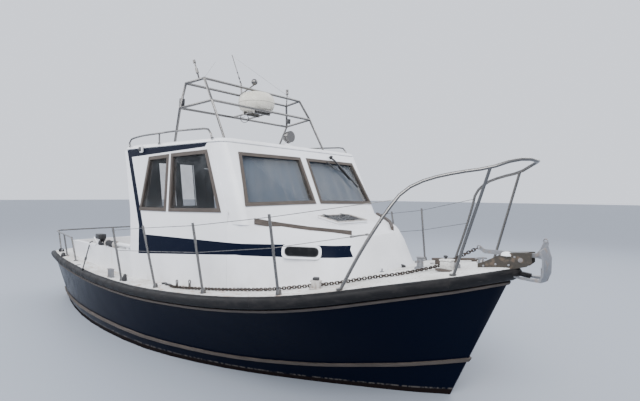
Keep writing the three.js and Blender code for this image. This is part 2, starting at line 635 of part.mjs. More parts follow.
// Front moulding with rounded corners, raked back
const CORNER_R = 95;
function frontHalf(depth) {
  const half = HOUSE_HALF - 12;
  const points = [[SEAM_X + GAP, half - depth]];
  for (let i = 0; i <= 4; i++) {
    const turn = (i / 4) * (Math.PI / 2);
    const radius = CORNER_R - depth;
    points.push([SCREEN_X - CORNER_R + radius * Math.sin(turn), half - CORNER_R + radius * Math.cos(turn)]);
  }
  return points;
}
function frontSolid(low, high) {
  const rings = [low, high].map((z) => {
    const squeeze = sideY(z) / HOUSE_HALF;
    const ring = (points) => points.map(([x, y]) => [x + rake(z), y * squeeze, z]);
    const outer = ring(frontHalf(0));
    const inner = ring(frontHalf(WALL));
    const starboard = (points) => points.map(([x, y, zz]) => [x, -y, zz]);
    const outside = [...starboard(outer), ...outer.slice().reverse()];
    const inside = [...inner, ...starboard(inner).reverse()];
    return [...outside, ...inside];
  });
  return loft(rings);
}
const screenHole = panel(inset(SCREEN_WINDOW, -GAP), 200, (y, z, d) => screenPlace(y, z, d - 80));
const houseFront = frontSolid(1500, 2305).subtract(screenHole).subtract(mirrored(screenHole)).subtract(trunkGrown);

// Roof, a crowned lid with rounded edges
const ROOF = { aft: -740, fore: 1302, half: 1140, corner: 130 };
// Rows of the roof's surface: distance in from the edge, height, and what is added to it at the aft end
const ROOF_LEVELS = [[14, GAP, 0], [0, 12, 0], [4, 30, 0], [30, 46, 11], [130, 62, 15], [480, 76, 19]];
function roofSolid() {
  const outline = (shrink) => rounded([
    [ROOF.aft + shrink, -ROOF.half + shrink],
    [ROOF.fore - shrink, -ROOF.half + shrink],
    [ROOF.fore - shrink, ROOF.half - shrink],
    [ROOF.aft + shrink, ROOF.half - shrink],
  ], ROOF.corner, 5);
  const rings = ROOF_LEVELS.map(([shrink, up, aftUp]) => {
    const aftShare = (x) => (ROOF.fore - x) / (ROOF.fore - ROOF.aft);
    return outline(shrink).map(([x, y]) => [x, y, roofZ(x) + up + aftUp * aftShare(x)]);
  });
  return loft(rings.map((ring) => {
    const start = ring.length / 4;
    return [...ring.slice(start / 2), ...ring.slice(0, start / 2)];
  }));
}
const roof = roofSolid();
const ABOVE_ALL = [[-2000, -2000], [3000, -2000], [3000, 2000], [-2000, 2000]];
const roofSkirt = panel(ABOVE_ALL, 800, (x, y, d) => [x, y, roofZ(x) + d]);
piece("houseFront", houseFront.subtract(roofSkirt), "white");
piece("houseRoof", roof, "white");

const screen = framed(SCREEN_WINDOW, SCREEN_FRAME_WIDE, screenPlace, WALL + 6);
piece("screenFrameStarboard", screen.frame, "wood");
piece("screenFramePort", mirrored(screen.frame), "wood");
piece("screenPaneStarboard", screen.pane, "glass");
piece("screenPanePort", mirrored(screen.pane), "glass");

// Aft bulkhead with its doorway, and the door hung on its port side
const BULK_INSET = 70;
const BULK_TOP = roofZ(aftX(HOUSE_TOP) + BULK_INSET + WALL);
const DOOR = { y0: -40, y1: 560, z0: 520, z1: 2150, thick: 34, play: 6 };
const bulkPlace = (y, z, d) => [aftX(z) + BULK_INSET + d, y, z];
const bulkOutline = [
  [-(sideY(SOLE_Z) - WALL - GAP - 4), SOLE_Z + GAP],
  [sideY(SOLE_Z) - WALL - GAP - 4, SOLE_Z + GAP],
  [sideY(BULK_TOP) - WALL - GAP, BULK_TOP],
  [-(sideY(BULK_TOP) - WALL - GAP), BULK_TOP],
];
const doorway = [[DOOR.y0, DOOR.z0], [DOOR.y1, DOOR.z0], [DOOR.y1, DOOR.z1], [DOOR.y0, DOOR.z1]];
const wellSide = panel([[aftX(SOLE_Z), -1076], [aftX(SOLE_Z) + 400, -1076], [aftX(SOLE_Z) + 400, 1076],
  [aftX(SOLE_Z) - 400, 1076], [aftX(SOLE_Z) - 400, -1076]], 1000, (x, y, d) => [x, y, 300 + d]);
const bulkLow = panel(bulkOutline, WALL, bulkPlace, [doorway]);
const bulk = join(bulkLow.subtract(under), bulkLow.intersect(wellSide));
piece("houseBulkhead", bulk, "white");
const doorLeaf = inset(doorway, DOOR.play);
const doorLight = [[90, 1450], [430, 1450], [430, 2020], [90, 2020]];
const door = panel(doorLeaf, DOOR.thick, bulkPlace, [doorLight]);
const PANE_DEEP = 14; // face of the door to its pane
const pane = panel(inset(doorLight, -PANE_BITE), PANE_THICK, (y, z, d) => bulkPlace(y, z, d + PANE_DEEP));
const paneGroove = panel(inset(doorLight, -PANE_BITE - GAP), PANE_THICK + 2 * GAP,
  (y, z, d) => bulkPlace(y, z, d + PANE_DEEP - GAP));
const HINGE = { y: 566, d: -11, high: 90, from: 500, seat: 548, r: 8 };
const leafPlace = (y, w, d) => bulkPlace(y, w, d - HINGE.r);
const strap = (z, to) => [[HINGE.from, z], [to, z], [to, z + HINGE.high], [HINGE.from, z + HINGE.high]];
const hinges = [750, 1900].flatMap((z) => [
  rod(bulkPlace(HINGE.y, z, HINGE.d), bulkPlace(HINGE.y, z + HINGE.high, HINGE.d), HINGE.r, 12),
  panel(strap(z, HINGE.y), 7, leafPlace),
  panel(strap(z, HINGE.seat), 12, leafPlace),
]);
piece("door", join(door.subtract(paneGroove), ...hinges), "white");
piece("doorPane", pane, "glass");

// Cockpit sole, coaming, engine box with its lid, and the engine as one block
const soleOutline = [...COCKPIT_WELL, ...HOUSE_WELL.slice(1)].map(([x, y]) => [x, y - 1]);
soleOutline[0][0] += 1;
soleOutline.at(-1)[0] -= 1;
const solePoints = [...soleOutline.map(([x, y]) => [x, -y]), ...soleOutline.slice().reverse()];
const ENGINE_BOX = { x0: -220, x1: 680, half: 330, wall: 24, top: 780 };
const sole = panel(solePoints, SOLE_THICK - GAP, (x, y, d) => [x, y, SOLE_Z - SOLE_THICK + GAP + d])
  .subtract(box(ENGINE_BOX.x0 + 40, ENGINE_BOX.x1 - 40, -ENGINE_BOX.half + 40, ENGINE_BOX.half - 40, 300, 500));
piece("cockpitSole", sole, "teak");
const boxOuter = box(ENGINE_BOX.x0, ENGINE_BOX.x1, -ENGINE_BOX.half, ENGINE_BOX.half, SOLE_Z + GAP, ENGINE_BOX.top);
const boxInner = box(ENGINE_BOX.x0 + ENGINE_BOX.wall, ENGINE_BOX.x1 - ENGINE_BOX.wall,
  -ENGINE_BOX.half + ENGINE_BOX.wall, ENGINE_BOX.half - ENGINE_BOX.wall, SOLE_Z - 10, ENGINE_BOX.top + 10);
piece("engineBox", boxOuter.subtract(boxInner), "white");
const lid = box(ENGINE_BOX.x0 - 12, ENGINE_BOX.x1 + 12, -ENGINE_BOX.half - 12, ENGINE_BOX.half + 12,
  ENGINE_BOX.top + GAP, ENGINE_BOX.top + 30);
piece("engineLid", lid, "white");
piece("engineBlock", box(-130, 570, -250, 250, PIT_Z + GAP, 690), "dark");

const COAMING = { low: 740, thick: 60, rows: [[-3010, 860], [-2000, 1010], [-1200, 1100], [-460, 1149]] };
const coamingTop = (x) => 1010 + ((x + 3010) / 2500) * 75;
function coamingSolid() {
  const outline = (d) => {
    const rows = COAMING.rows.map(([x, y], i) => [i ? x : x + d, y - d]);
    return [...rows.map(([x, y]) => [x, -y]), ...rows.map(([x, y]) => [x, y]).reverse()];
  };
  const rise = (x, y, d) => [x, y, COAMING.low + (d ? coamingTop(x) - COAMING.low : 0)];
  const outer = panel(outline(0), 10, rise);
  const inner = outline(COAMING.thick).map(([x, y]) => [x > -600 ? x + 60 : x, y]);
  const hollow = panel(inner, 600, (x, y, d) => [x, y, COAMING.low - 50 + d]);
  const houseEnd = box(SIDE_AFT - GAP, 400, -1500, 1500, 700, 1200);
  return outer.subtract(hollow).subtract(under).subtract(houseEnd);
}
piece("coaming", coamingSolid(), "white");

// Helm: console, wheel and seat on the starboard side
const consoleSide = [[1330, SOLE_Z + GAP], [1010, SOLE_Z + GAP], [1000, 1180], [1090, 1420], [1330, 1470]];
piece("console", panel(consoleSide, 620, (x, z, d) => [x, -1050 + d, z]), "white");
const WHEEL = { at: [930, -740, 1290], along: [-0.94, 0, 0.342], radius: 185, rim: 13 };
const wheelRim = new THREE.TorusGeometry(WHEEL.radius, WHEEL.rim, 6, 24);
const wheelTurn = new THREE.Quaternion().setFromUnitVectors(v3(0, 0, 1), v3(...WHEEL.along).normalize());
wheelRim.applyQuaternion(wheelTurn).translate(...WHEEL.at);
const spokes = [0, 1, 2].map((i) => {
  const turn = (i / 3) * 2 * Math.PI;
  const end = v3(Math.cos(turn), Math.sin(turn), 0).multiplyScalar(WHEEL.radius).applyQuaternion(wheelTurn);
  return rod(WHEEL.at, end.add(v3(...WHEEL.at)).toArray(), 9, 8);
});
const WHEEL_SHAFT = 120;
const wheelAxle = rod(WHEEL.at, WHEEL.at.map((c, i) => c - WHEEL.along[i] * WHEEL_SHAFT), 16, 12);
const hubCap = turned([[0, -20], [34, -18], [34, 10], [20, 18], [0, 20]], WHEEL.at, WHEEL.along, 12);
const consoleGrown = panel(inset(consoleSide, -GAP), 620, (x, z, d) => [x, -1050 + d, z]);
piece("steeringWheel", cut(join(solidOf(wheelRim), ...spokes, wheelAxle, hubCap), consoleGrown), "dark");
const seatPost = rod([430, -740, SOLE_Z + GAP], [430, -740, 900], 40, 12);
const seatPan = panel(rounded(rectangle(420, 420), 60), 90, (x, y, d) => [430 + x, -740 + y, 880 + d]);
const seatBack = panel(rounded(rectangle(400, 380), 60), 60, (y, z, d) => [235 + d, -740 + y, 1130 + z]);
piece("helmSeat", join(seatPost, seatPan, seatBack, box(240, 300, -780, -700, 900, 1000)), "cloth");

// Curtains behind the windscreens
const CURTAIN = { off: WALL + 6.33, thick: 30 };
const curtainOutline = [[-1000, 1650], [-60, 1650], [-60, 2250], [-915, 2250]];
const curtain = panel(curtainOutline, CURTAIN.thick, (y, z, d) => screenPlace(y, z, d + CURTAIN.off));
piece("curtainStarboard", curtain, "cloth");
piece("curtainPort", mirrored(curtain), "cloth");

// Gantry of steel tube on the roof, with its cross bars, lights and aerial
const roofTopZ = (x) => roofZ(x) + 72;
const GANTRY = {
  foreFoot: [970, 833, 2340], foreMid: [703, 818, 2829], foreTop: [527, 795, 3105],
  aftFoot: [-18, 840, 2350], aftMid: [186, 890, 2790], aftTop: [226, 839, 3082],
};
const sided = ([x, y, z], side) => [x, side * y, z];
function gantrySide(side) {
  const at = Object.fromEntries(Object.entries(GANTRY).map(([k, p]) => [k, sided(p, side)]));
  return [
    rod(at.foreFoot, at.foreMid, TUBE_R), rod(at.foreMid, at.foreTop, TUBE_R),
    rod(at.aftFoot, at.aftMid, TUBE_R), rod(at.aftMid, at.aftTop, TUBE_R),
    rod(at.foreTop, at.aftTop, TUBE_R), rod(at.foreMid, at.aftMid, TUBE_R),
    turned([[0, 0], [45, 0], [45, 14], [0, 14]], [970, side * 833, roofTopZ(970) - 8], [0, 0, 1], 12),
    turned([[0, 0], [45, 0], [45, 14], [0, 14]], [-18, side * 840, roofTopZ(-18) - 8], [0, 0, 1], 12),
    ...[at.foreTop, at.aftTop, at.foreMid, at.aftMid].map((p) => ball(p, TUBE_R * 1.1)),
  ];
}
const crossBars = ["foreTop", "aftTop", "foreMid", "aftMid"].map((k) =>
  rod(sided(GANTRY[k], -1), sided(GANTRY[k], 1), TUBE_R));
const SHELF_Z = 2840; // top of the two bars the radome stands on
const SHELF = [420, 620].map((x) => box(x - 10, x + 10, -130, 130, SHELF_Z - 42, SHELF_Z));
const shelfBars = [-110, 110].map((y) => rod([703, y, 2829], [186, y, 2790], 9));
// Starboard light on a leaning post outside the top bar, port light upright over its leg
const lights = [
  rod([445, -807, 3099], [445, -830, 3177], 8),
  rod([445, -830, 3170], [425, -830, 3219], 15, 12),
  rod([427, -830, 3214], [385, -830, 3303], 7),
  rod([389, -830, 3295], [375, -830, 3324], 14, 12),
  rod([226, 839, 3082], [240, 840, 3255], 7),
  rod([240, 840, 3250], [240, 840, 3318], 18, 12),
];
const aerial = join(rod([226, 0, 3075], [212, 0, 3250], 9), rod([212, 0, 3240], [20, 0, 3663], 4, 6),
  rod([226, -40, 3082], [500, -30, 3180], 7), ball([511, -30, 3215], 38, 12));
const gantry = join(gantrySide(-1), gantrySide(1), crossBars, SHELF, shelfBars, lights, aerial);
piece("gantry", cut(gantry, roofGrown()), "steel");

function roofGrown() {
  return solidOf(warp(geometryOf(roof), (x, y, z) => [x, y, z > roofZ(x) + 8 ? z + GROW : z]));
}

const RADOME = { x: 520, radius: 230, high: 250 }; // its top passes just under the fore top bar
const radomeProfile = [[0, 0], [150, 0], [204, 20], [226, 62], [RADOME.radius, 100], [228, 140], [212, 188],
  [172, 224], [100, 244], [0, RADOME.high]];
piece("radome", turned(radomeProfile, [RADOME.x, 0, SHELF_Z + GAP], [0, 0, 1], 32), "cream");

// Searchlight turning on its foot
const LIGHT = { x: 1085, z: 2476 };
const LIGHT_FOOT = 22;
const footProfile = [[0, -30], [48, -30], [48, 8], [20, 14], [18, LIGHT_FOOT], [0, LIGHT_FOOT]];
const foot = turned(footProfile, [LIGHT.x, 0, roofTopZ(LIGHT.x)], [0, 0, 1], 16);
piece("searchlightFoot", foot.subtract(roofGrown()), "white");
const lamp = turned([[0, -75], [38, -66], [58, -30], [68, 30], [68, 52], [0, 52]], [LIGHT.x, 0, LIGHT.z], [1, 0, 0], 20);
const lampNeck = rod([LIGHT.x, 0, roofTopZ(LIGHT.x) + LIGHT_FOOT + GAP], [LIGHT.x, 0, LIGHT.z - 50], 13, 12);
piece("searchlight", join(lamp, lampNeck), "steel");

// Roof handrails along the edge of the roof: x and height of the bent tube, and of its middle post
const ROOF_RAIL = { y: -1120, radius: 11, pad: 15, padHigh: 34, bite: 20 };
const ROOF_RAIL_LINE = [[-549, 2343], [-562, 2395], [-568, 2425], [-545, 2447], [-342, 2471], [132, 2474],
  [463, 2470], [900, 2453], [1035, 2444], [1086, 2424], [1110, 2380], [1128, 2319]];
const ROOF_RAIL_POST = [132, 2474];
function roofRail() {
  const { y, radius, pad, padHigh, bite } = ROOF_RAIL;
  const points = ROOF_RAIL_LINE.map(([x, z]) => [x, y, z]);
  const post = rod([ROOF_RAIL_POST[0], y, roofZ(ROOF_RAIL_POST[0]) + bite], [ROOF_RAIL_POST[0], y, ROOF_RAIL_POST[1]],
    radius - 1, 6);
  const feet = [ROOF_RAIL_LINE[0][0], ROOF_RAIL_POST[0], ROOF_RAIL_LINE.at(-1)[0]].map((x) =>
    turned([[0, 0], [pad, 0], [pad, padHigh], [0, padHigh]], [x, y, roofZ(x) + bite], [0, 0, 1], 10));
  return join(tube(points, radius, 26, 6), post, ...feet);
}
piece("roofRailStarboard", cut(roofRail(), roofGrown()), "steel");
piece("roofRailPort", cut(mirrored(roofRail()), roofGrown()), "steel");

// Bow pulpit
const PULPIT = [[2712, -1082, 1040], [2835, -1010, 1318], [2925, -935, 1515], [3005, -850, 1685], [3075, -755, 1817],
  [3165, -680, 1885], [3250, -600, 1926], [3405, -500, 1967], [3610, -380, 2005], [3740, -275, 2058], [3815, -150, 2076],
  [3842, 0, 2070]];
const PULPIT_LEG = { foot: [3354, -454, 1140], top: [3610, -378, 2005] };
const pulpitPath = [...PULPIT, ...PULPIT.slice(0, -1).reverse().map(([x, y, z]) => [x, -y, z])];
const pads = [[2712, 1082], [3354, 454]].flatMap(([x, y]) => [-1, 1].map((side) =>
  turned([[0, -20], [28, -20], [28, 12], [0, 12]], [x, side * y, deckZ(x, y)], [0, 0, 1], 10)));
const legs = [-1, 1].map((side) =>
  rod([PULPIT_LEG.foot[0], -side * PULPIT_LEG.foot[1], PULPIT_LEG.foot[2]],
    [PULPIT_LEG.top[0], -side * PULPIT_LEG.top[1], PULPIT_LEG.top[2]], TUBE_R));
const PULPIT_R = 14;
const PULPIT_STEPS = 38;
piece("pulpit", cut(join(tube(pulpitPath, PULPIT_R, PULPIT_STEPS, 7), ...legs, ...pads), under), "steel");
const pulpitGrown = tube(pulpitPath, PULPIT_R + GROW, PULPIT_STEPS, 7);

// Stanchions and their lifelines: foot x, foot y, top x, top y, height
const AFT_STANCHIONS = [
  [-305, 1340, -440, 1385, 610],
  [457, 1345, 290, 1400, 650],
];
const FORE_STANCHION = [2245, 1280, 2168, 1320, 650];
const STARBOARD_STANCHIONS = [...AFT_STANCHIONS, [1310, 1345, 1193, 1385, 655], FORE_STANCHION];
const PORT_STANCHIONS = [...AFT_STANCHIONS, [1832, 1345, 1698, 1375, 655], FORE_STANCHION];
// Share of a post's height at which each wire runs, and where it meets the pulpit
const LIFELINES = [[0.96, 3042, 800, 1755], [0.5, 2913, 945, 1490]];
function stanchionSide(rows, side) {
  const foots = rows.map(([x, y]) => [x, side * y, deckZ(x, y)]);
  const tops = rows.map(([x, y, tx, ty, high]) => [tx, side * ty, deckZ(x, y) + high]);
  const posts = foots.map((f, i) => rod([f[0], f[1], f[2] - 15], tops[i], TUBE_R));
  const bases = foots.map((f) => turned([[0, -15], [26, -15], [26, 10], [18, 45], [0, 45]], f, [0, 0, 1], 10));
  const wires = LIFELINES.flatMap(([share, x, y, z]) => {
    const at = foots.map((f, i) => f.map((c, k) => c + (tops[i][k] - c) * share));
    at.push([x, side * y, z]);
    return at.slice(0, -1).map((p, i) => rod(p, at[i + 1], WIRE_R, 6));
  });
  return cut(join(...posts, ...bases, ...wires), under, pulpitGrown);
}
piece("stanchionsStarboard", stanchionSide(STARBOARD_STANCHIONS, -1), "steel");
piece("stanchionsPort", stanchionSide(PORT_STANCHIONS, 1), "steel");

// Stern rail round the after deck
const STERN_FEET = [[-2310, 1080, -2420, 1100], [-2970, 960, -3040, 985], [-3620, 820, -3740, 850]];
const STERN_HIGH = 345;
const sternTop = STERN_FEET.map(([x, y, tx, ty]) => [tx, -ty, deckZ(x, y) + STERN_HIGH]);
const sternPath = [...sternTop.slice(0, 2), [-3640, -875, sternTop[2][2]], [-3765, -780, sternTop[2][2]],
  [-3790, -400, sternTop[2][2]]];
const sternOther = sternPath.slice().reverse().map(([x, y, z]) => [x, -y, z]);
const sternWhole = [...sternPath, [-3795, 0, sternTop[2][2]], ...sternOther];
const STERN_POST_TOPS = [[-2420, 1100], [-3040, 985], [-3720, 825]];
const sternPosts = STERN_FEET.flatMap(([x, y], i) => [-1, 1].map((side) => {
  const [topX, topY] = STERN_POST_TOPS[i];
  return rod([x, side * y, deckZ(x, y) - 10], [topX, side * topY, deckZ(x, y) + STERN_HIGH], TUBE_R);
}));
const sternPads = STERN_FEET.flatMap(([x, y]) => [-1, 1].map((side) =>
  turned([[0, -15], [34, -15], [34, 10], [0, 10]], [x, side * y, deckZ(x, y)], [0, 0, 1], 10)));
piece("sternRail", cut(join(tube(sternWhole, TUBE_R, 34, 6), ...sternPosts, ...sternPads), under), "steel");

// Bow roller between its cheek plates, and the anchor stowed on it
const CHEEK = { half: 46, thick: 8 };
const ROLLER = { x: 3745, z: 1275, radius: 34 };
const cheekSide = [[3400, 1175], [3700, 1200], [3790, 1225], [3828, 1258], [3828, 1342], [3700, 1330], [3615, 1322],
  [3430, 1222], [3400, 1215]];
const cheeks = [-1, 1].map((side) => {
  const from = side > 0 ? CHEEK.half : -CHEEK.half - CHEEK.thick;
  return panel(cheekSide, CHEEK.thick, (x, z, d) => [x, from + d, z]);
});
const cheekFloor = box(3405, 3690, -CHEEK.half - 4, CHEEK.half + 4, 1180, 1215);
const pinBore = rod([ROLLER.x, -80, ROLLER.z], [ROLLER.x, 80, ROLLER.z], 8.5, 16);
piece("rollerCheeks", cut(join(...cheeks, cheekFloor), pinBore, under, fenderGrown), "galvanised");

const rollerBody = turned([[0, -40], [ROLLER.radius, -40], [ROLLER.radius - 14, 0], [ROLLER.radius, 40], [0, 40]],
  [ROLLER.x, 0, ROLLER.z], [0, 1, 0], 16);
piece("bowRoller", join(rollerBody, rod([ROLLER.x, -58, ROLLER.z], [ROLLER.x, 58, ROLLER.z], 8, 16)), "white");

const SHANK_Z = 1298.1; // underside of the shank, which lies in the waist of the roller
const SHANK_HIGH = 36;
const shankSide = [[3396, 1330], [3440, SHANK_Z], [3870, SHANK_Z], [3925, 1340], [3938, 1428], [3905, 1438],
  [3880, 1372], [3850, SHANK_Z + SHANK_HIGH], [3440, SHANK_Z + SHANK_HIGH], [3400, 1364]];
const shank = panel(shankSide, 16, (x, z, d) => [x, d - 8, z]);
// Claw: a scooped plate, whose rows go across the boat, and two arms that sweep aft from its foot
const CLAW = { half: 120, sweep: 22, low: 1122, thick: 14 };
const clawRows = [-1, -0.6, -0.2, 0.2, 0.6, 1].map((share) => {
  const back = CLAW.sweep * share * share;
  const side = [[3928, CLAW.low], [3952, 1180], [3955, 1300], [3930, 1395 - 30 * share * share],
    [3930 - CLAW.thick, 1390 - 30 * share * share], [3955 - CLAW.thick, 1296], [3952 - CLAW.thick, 1184],
    [3928 - CLAW.thick, CLAW.low + 6]];
  return side.map(([x, z]) => [x - back, share * CLAW.half, z]);
});
const clawArms = [-1, 1].map((side) => {
  const rows = [[3705, 1142, 10, 4], [3760, 1137, 22, 7], [3840, 1133, 30, 9], [3915, 1134, 32, 12]];
  return loft(rows.map(([x, z, half, thick]) => {
    const y = side * (CLAW.half - 34);
    return [[x, y - half, z - thick], [x, y - half, z + thick], [x, y + half, z + thick], [x, y + half, z - thick]];
  }));
});
const clawRoot = panel([[3870, SHANK_Z], [3935, 1290], [3935, 1350], [3880, 1360]], 44, (x, z, d) => [x, d - 22, z]);
piece("anchor", join(shank, clawRoot, loft(clawRows), ...clawArms), "galvanised");

// Chain along the starboard side deck and up to the shank: every other link lies flat, the rest stand on edge
const CHAIN = { link: 23.5, core: 3.5, thin: 4, wide: 12.6, lift: 12.4, shoulder: 0.22 };
const CHAIN_DECK = [[309, -1175], [745, -1222], [1169, -1217], [1597, -1190], [1974, -1140], [2217, -1057],
  [2432, -944], [2544, -876], [2725, -672], [2932, -487]];
const CHAIN_RISE = [[3115, -150, 1178], [3218, -60, 1242], [3380, 0, 1338]];
const chainPath = [...CHAIN_DECK.map(([x, y]) => [x, y, deckZ(x, y) + CHAIN.lift]), ...CHAIN_RISE];
function chainSolid() {
  const curve = new THREE.CatmullRomCurve3(chainPath.map((p) => v3(...p)), false, "centripetal");
  const links = Math.round(curve.getLength() / CHAIN.link);
  const rings = [];
  const ringAt = (share, sideways, upward) => {
    const at = curve.getPointAt(Math.min(share, 1));
    const along = curve.getTangentAt(Math.min(share, 1));
    const side = v3(0, 0, 1).cross(along).normalize().multiplyScalar(sideways);
    const up = along.clone().cross(side).setLength(upward);
    rings.push([[-1, -1], [-1, 1], [1, 1], [1, -1]].map(([s, u]) =>
      at.clone().addScaledVector(side, s).addScaledVector(up, u).toArray()));
  };
  for (let i = 0; i < links; i++) {
    const [sideways, upward] = i % 2 ? [CHAIN.thin, CHAIN.wide] : [CHAIN.wide, CHAIN.thin];
    ringAt(i / links, CHAIN.core, CHAIN.core);
    ringAt((i + CHAIN.shoulder) / links, sideways, upward);
    ringAt((i + 1 - CHAIN.shoulder) / links, sideways, upward);
  }
  ringAt(1, CHAIN.core, CHAIN.core);
  return loft(rings);
}
piece("anchorChain", cut(chainSolid(), under), "rust");

// Bollard and deck box on the foredeck
const BOLLARD = [2888, -100];
const bollardBase = deckZ(...BOLLARD);
const bollard = join(
  turned([[0, -20], [52, -20], [52, 12], [32, 22], [28, 95], [40, 108], [0, 112]], [...BOLLARD, bollardBase], [0, 0, 1], 16),
  rod([BOLLARD[0], -190, bollardBase + 72], [BOLLARD[0], -10, bollardBase + 72], 10, 10),
);
piece("bollard", bollard.subtract(under), "steel");
const DECK_BOX = { at: [3199, -213], wide: 105, high: 150, bite: 25, corner: 20 };
const deckBoxLow = deckZ(...DECK_BOX.at) - DECK_BOX.bite;
const deckBox = panel(rounded(rectangle(DECK_BOX.wide, DECK_BOX.wide), DECK_BOX.corner), DECK_BOX.high,
  (x, y, d) => [DECK_BOX.at[0] + x, DECK_BOX.at[1] + y, deckBoxLow + d]);
piece("deckBox", deckBox.subtract(under), "white");

export default boat;
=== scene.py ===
import bpy
import math
import random
from mathutils import Matrix, Vector
from mathutils.bvhtree import BVHTree


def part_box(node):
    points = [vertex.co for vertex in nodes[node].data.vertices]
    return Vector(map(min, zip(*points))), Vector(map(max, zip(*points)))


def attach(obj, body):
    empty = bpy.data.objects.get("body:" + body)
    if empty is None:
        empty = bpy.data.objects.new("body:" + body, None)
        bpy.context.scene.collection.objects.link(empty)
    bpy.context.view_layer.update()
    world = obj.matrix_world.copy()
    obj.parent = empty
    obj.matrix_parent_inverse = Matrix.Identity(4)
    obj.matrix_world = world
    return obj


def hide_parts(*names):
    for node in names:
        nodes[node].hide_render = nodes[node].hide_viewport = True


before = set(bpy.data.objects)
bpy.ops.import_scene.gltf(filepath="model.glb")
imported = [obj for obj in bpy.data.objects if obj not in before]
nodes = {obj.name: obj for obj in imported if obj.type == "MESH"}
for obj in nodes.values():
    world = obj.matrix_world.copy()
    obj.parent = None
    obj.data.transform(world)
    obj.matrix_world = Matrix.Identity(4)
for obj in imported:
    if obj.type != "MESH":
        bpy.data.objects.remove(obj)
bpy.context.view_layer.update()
random.seed(11)
print("frame loaded,", len(nodes), "solids")

# Camera, at the angle of the photograph
view = {
    "at": (4.7839, -3.78, 1.7854),
    "right": (0.76418, 0.64496, 0.00816),
    "up": (-0.01443, 0.00446, 0.99989),
    "back": (0.64485, -0.76421, 0.01272),
    "lens": 24.75,
    "sensor": 36,
    "far": 300,
}


def makeCamera():
    turn = Matrix((view["right"], view["up"], view["back"])).transposed()
    bpy.ops.object.camera_add(location=view["at"], rotation=turn.to_euler())
    camera = bpy.context.object
    camera.data.sensor_width = view["sensor"]
    camera.data.lens = view["lens"]
    camera.data.clip_end = view["far"]
    bpy.context.scene.camera = camera


makeCamera()

# Floor at the water, a pale room and broad soft lamps
studio = {
    "floorSize": 240,
    "floorColour": (0.3, 0.33, 0.38, 1),
    "floorRoughness": 0.55,
    "roomColour": (0.8, 0.84, 0.93, 1),
    "roomLight": 1.45,
    "lamps": [  # place, what it points at, width, power
        ((7.0, -9.0, 10.0), (0.5, 0, 1.2), 9.0, 2300),
        ((-9.0, -7.0, 8.0), (-0.5, 0, 1.0), 8.0, 900),
        ((3.0, 10.0, 9.0), (0.5, 0, 1.2), 9.0, 700),
    ],
}


def makeStudio():
    bpy.ops.object.select_all(action="DESELECT")
    bpy.ops.mesh.primitive_plane_add(size=studio["floorSize"], location=(0, 0, 0))
    floor = bpy.context.object
    floor.name = "floor"
    paint = bpy.data.materials.new("floorPaint")
    paint.use_nodes = True
    shader = paint.node_tree.nodes["Principled BSDF"]
    shader.inputs["Base Color"].default_value = studio["floorColour"]
    shader.inputs["Roughness"].default_value = studio["floorRoughness"]
    floor.data.materials.append(paint)
    world = bpy.data.worlds.new("room")
    world.use_nodes = True
    back = world.node_tree.nodes["Background"]
    back.inputs["Color"].default_value = studio["roomColour"]
    back.inputs["Strength"].default_value = studio["roomLight"]
    bpy.context.scene.world = world
    for place, target, width, power in studio["lamps"]:
        aim = (Vector(target) - Vector(place)).to_track_quat("-Z", "Y").to_euler()
        bpy.ops.object.light_add(type="AREA", location=place, rotation=aim)
        lamp = bpy.context.object.data
        lamp.size = width
        lamp.energy = power


makeStudio()
print("camera and studio made")


# Materials. A wire is a socket that can stand in a sum
class Wire:
    def __init__(self, finish, socket):
        self.finish = finish
        self.socket = socket

    def maths(self, operation, *values):
        return self.finish.add("ShaderNodeMath", {"operation": operation}, [self, *values])

    def turned(self, operation, value):
        return self.finish.add("ShaderNodeMath", {"operation": operation}, [value, self])

    def __add__(self, other):
        return self.maths("ADD", other)

    def __radd__(self, other):
        return self.turned("ADD", other)

    def __sub__(self, other):
        return self.maths("SUBTRACT", other)

    def __rsub__(self, other):
        return self.turned("SUBTRACT", other)

    def __mul__(self, other):
        return self.maths("MULTIPLY", other)

    def __rmul__(self, other):
        return self.turned("MULTIPLY", other)

    def __truediv__(self, other):
        return self.maths("DIVIDE", other)

    def __gt__(self, other):
        return self.maths("GREATER_THAN", other)

    def __lt__(self, other):
        return self.maths("LESS_THAN", other)

    def __abs__(self):
        return self.maths("ABSOLUTE")


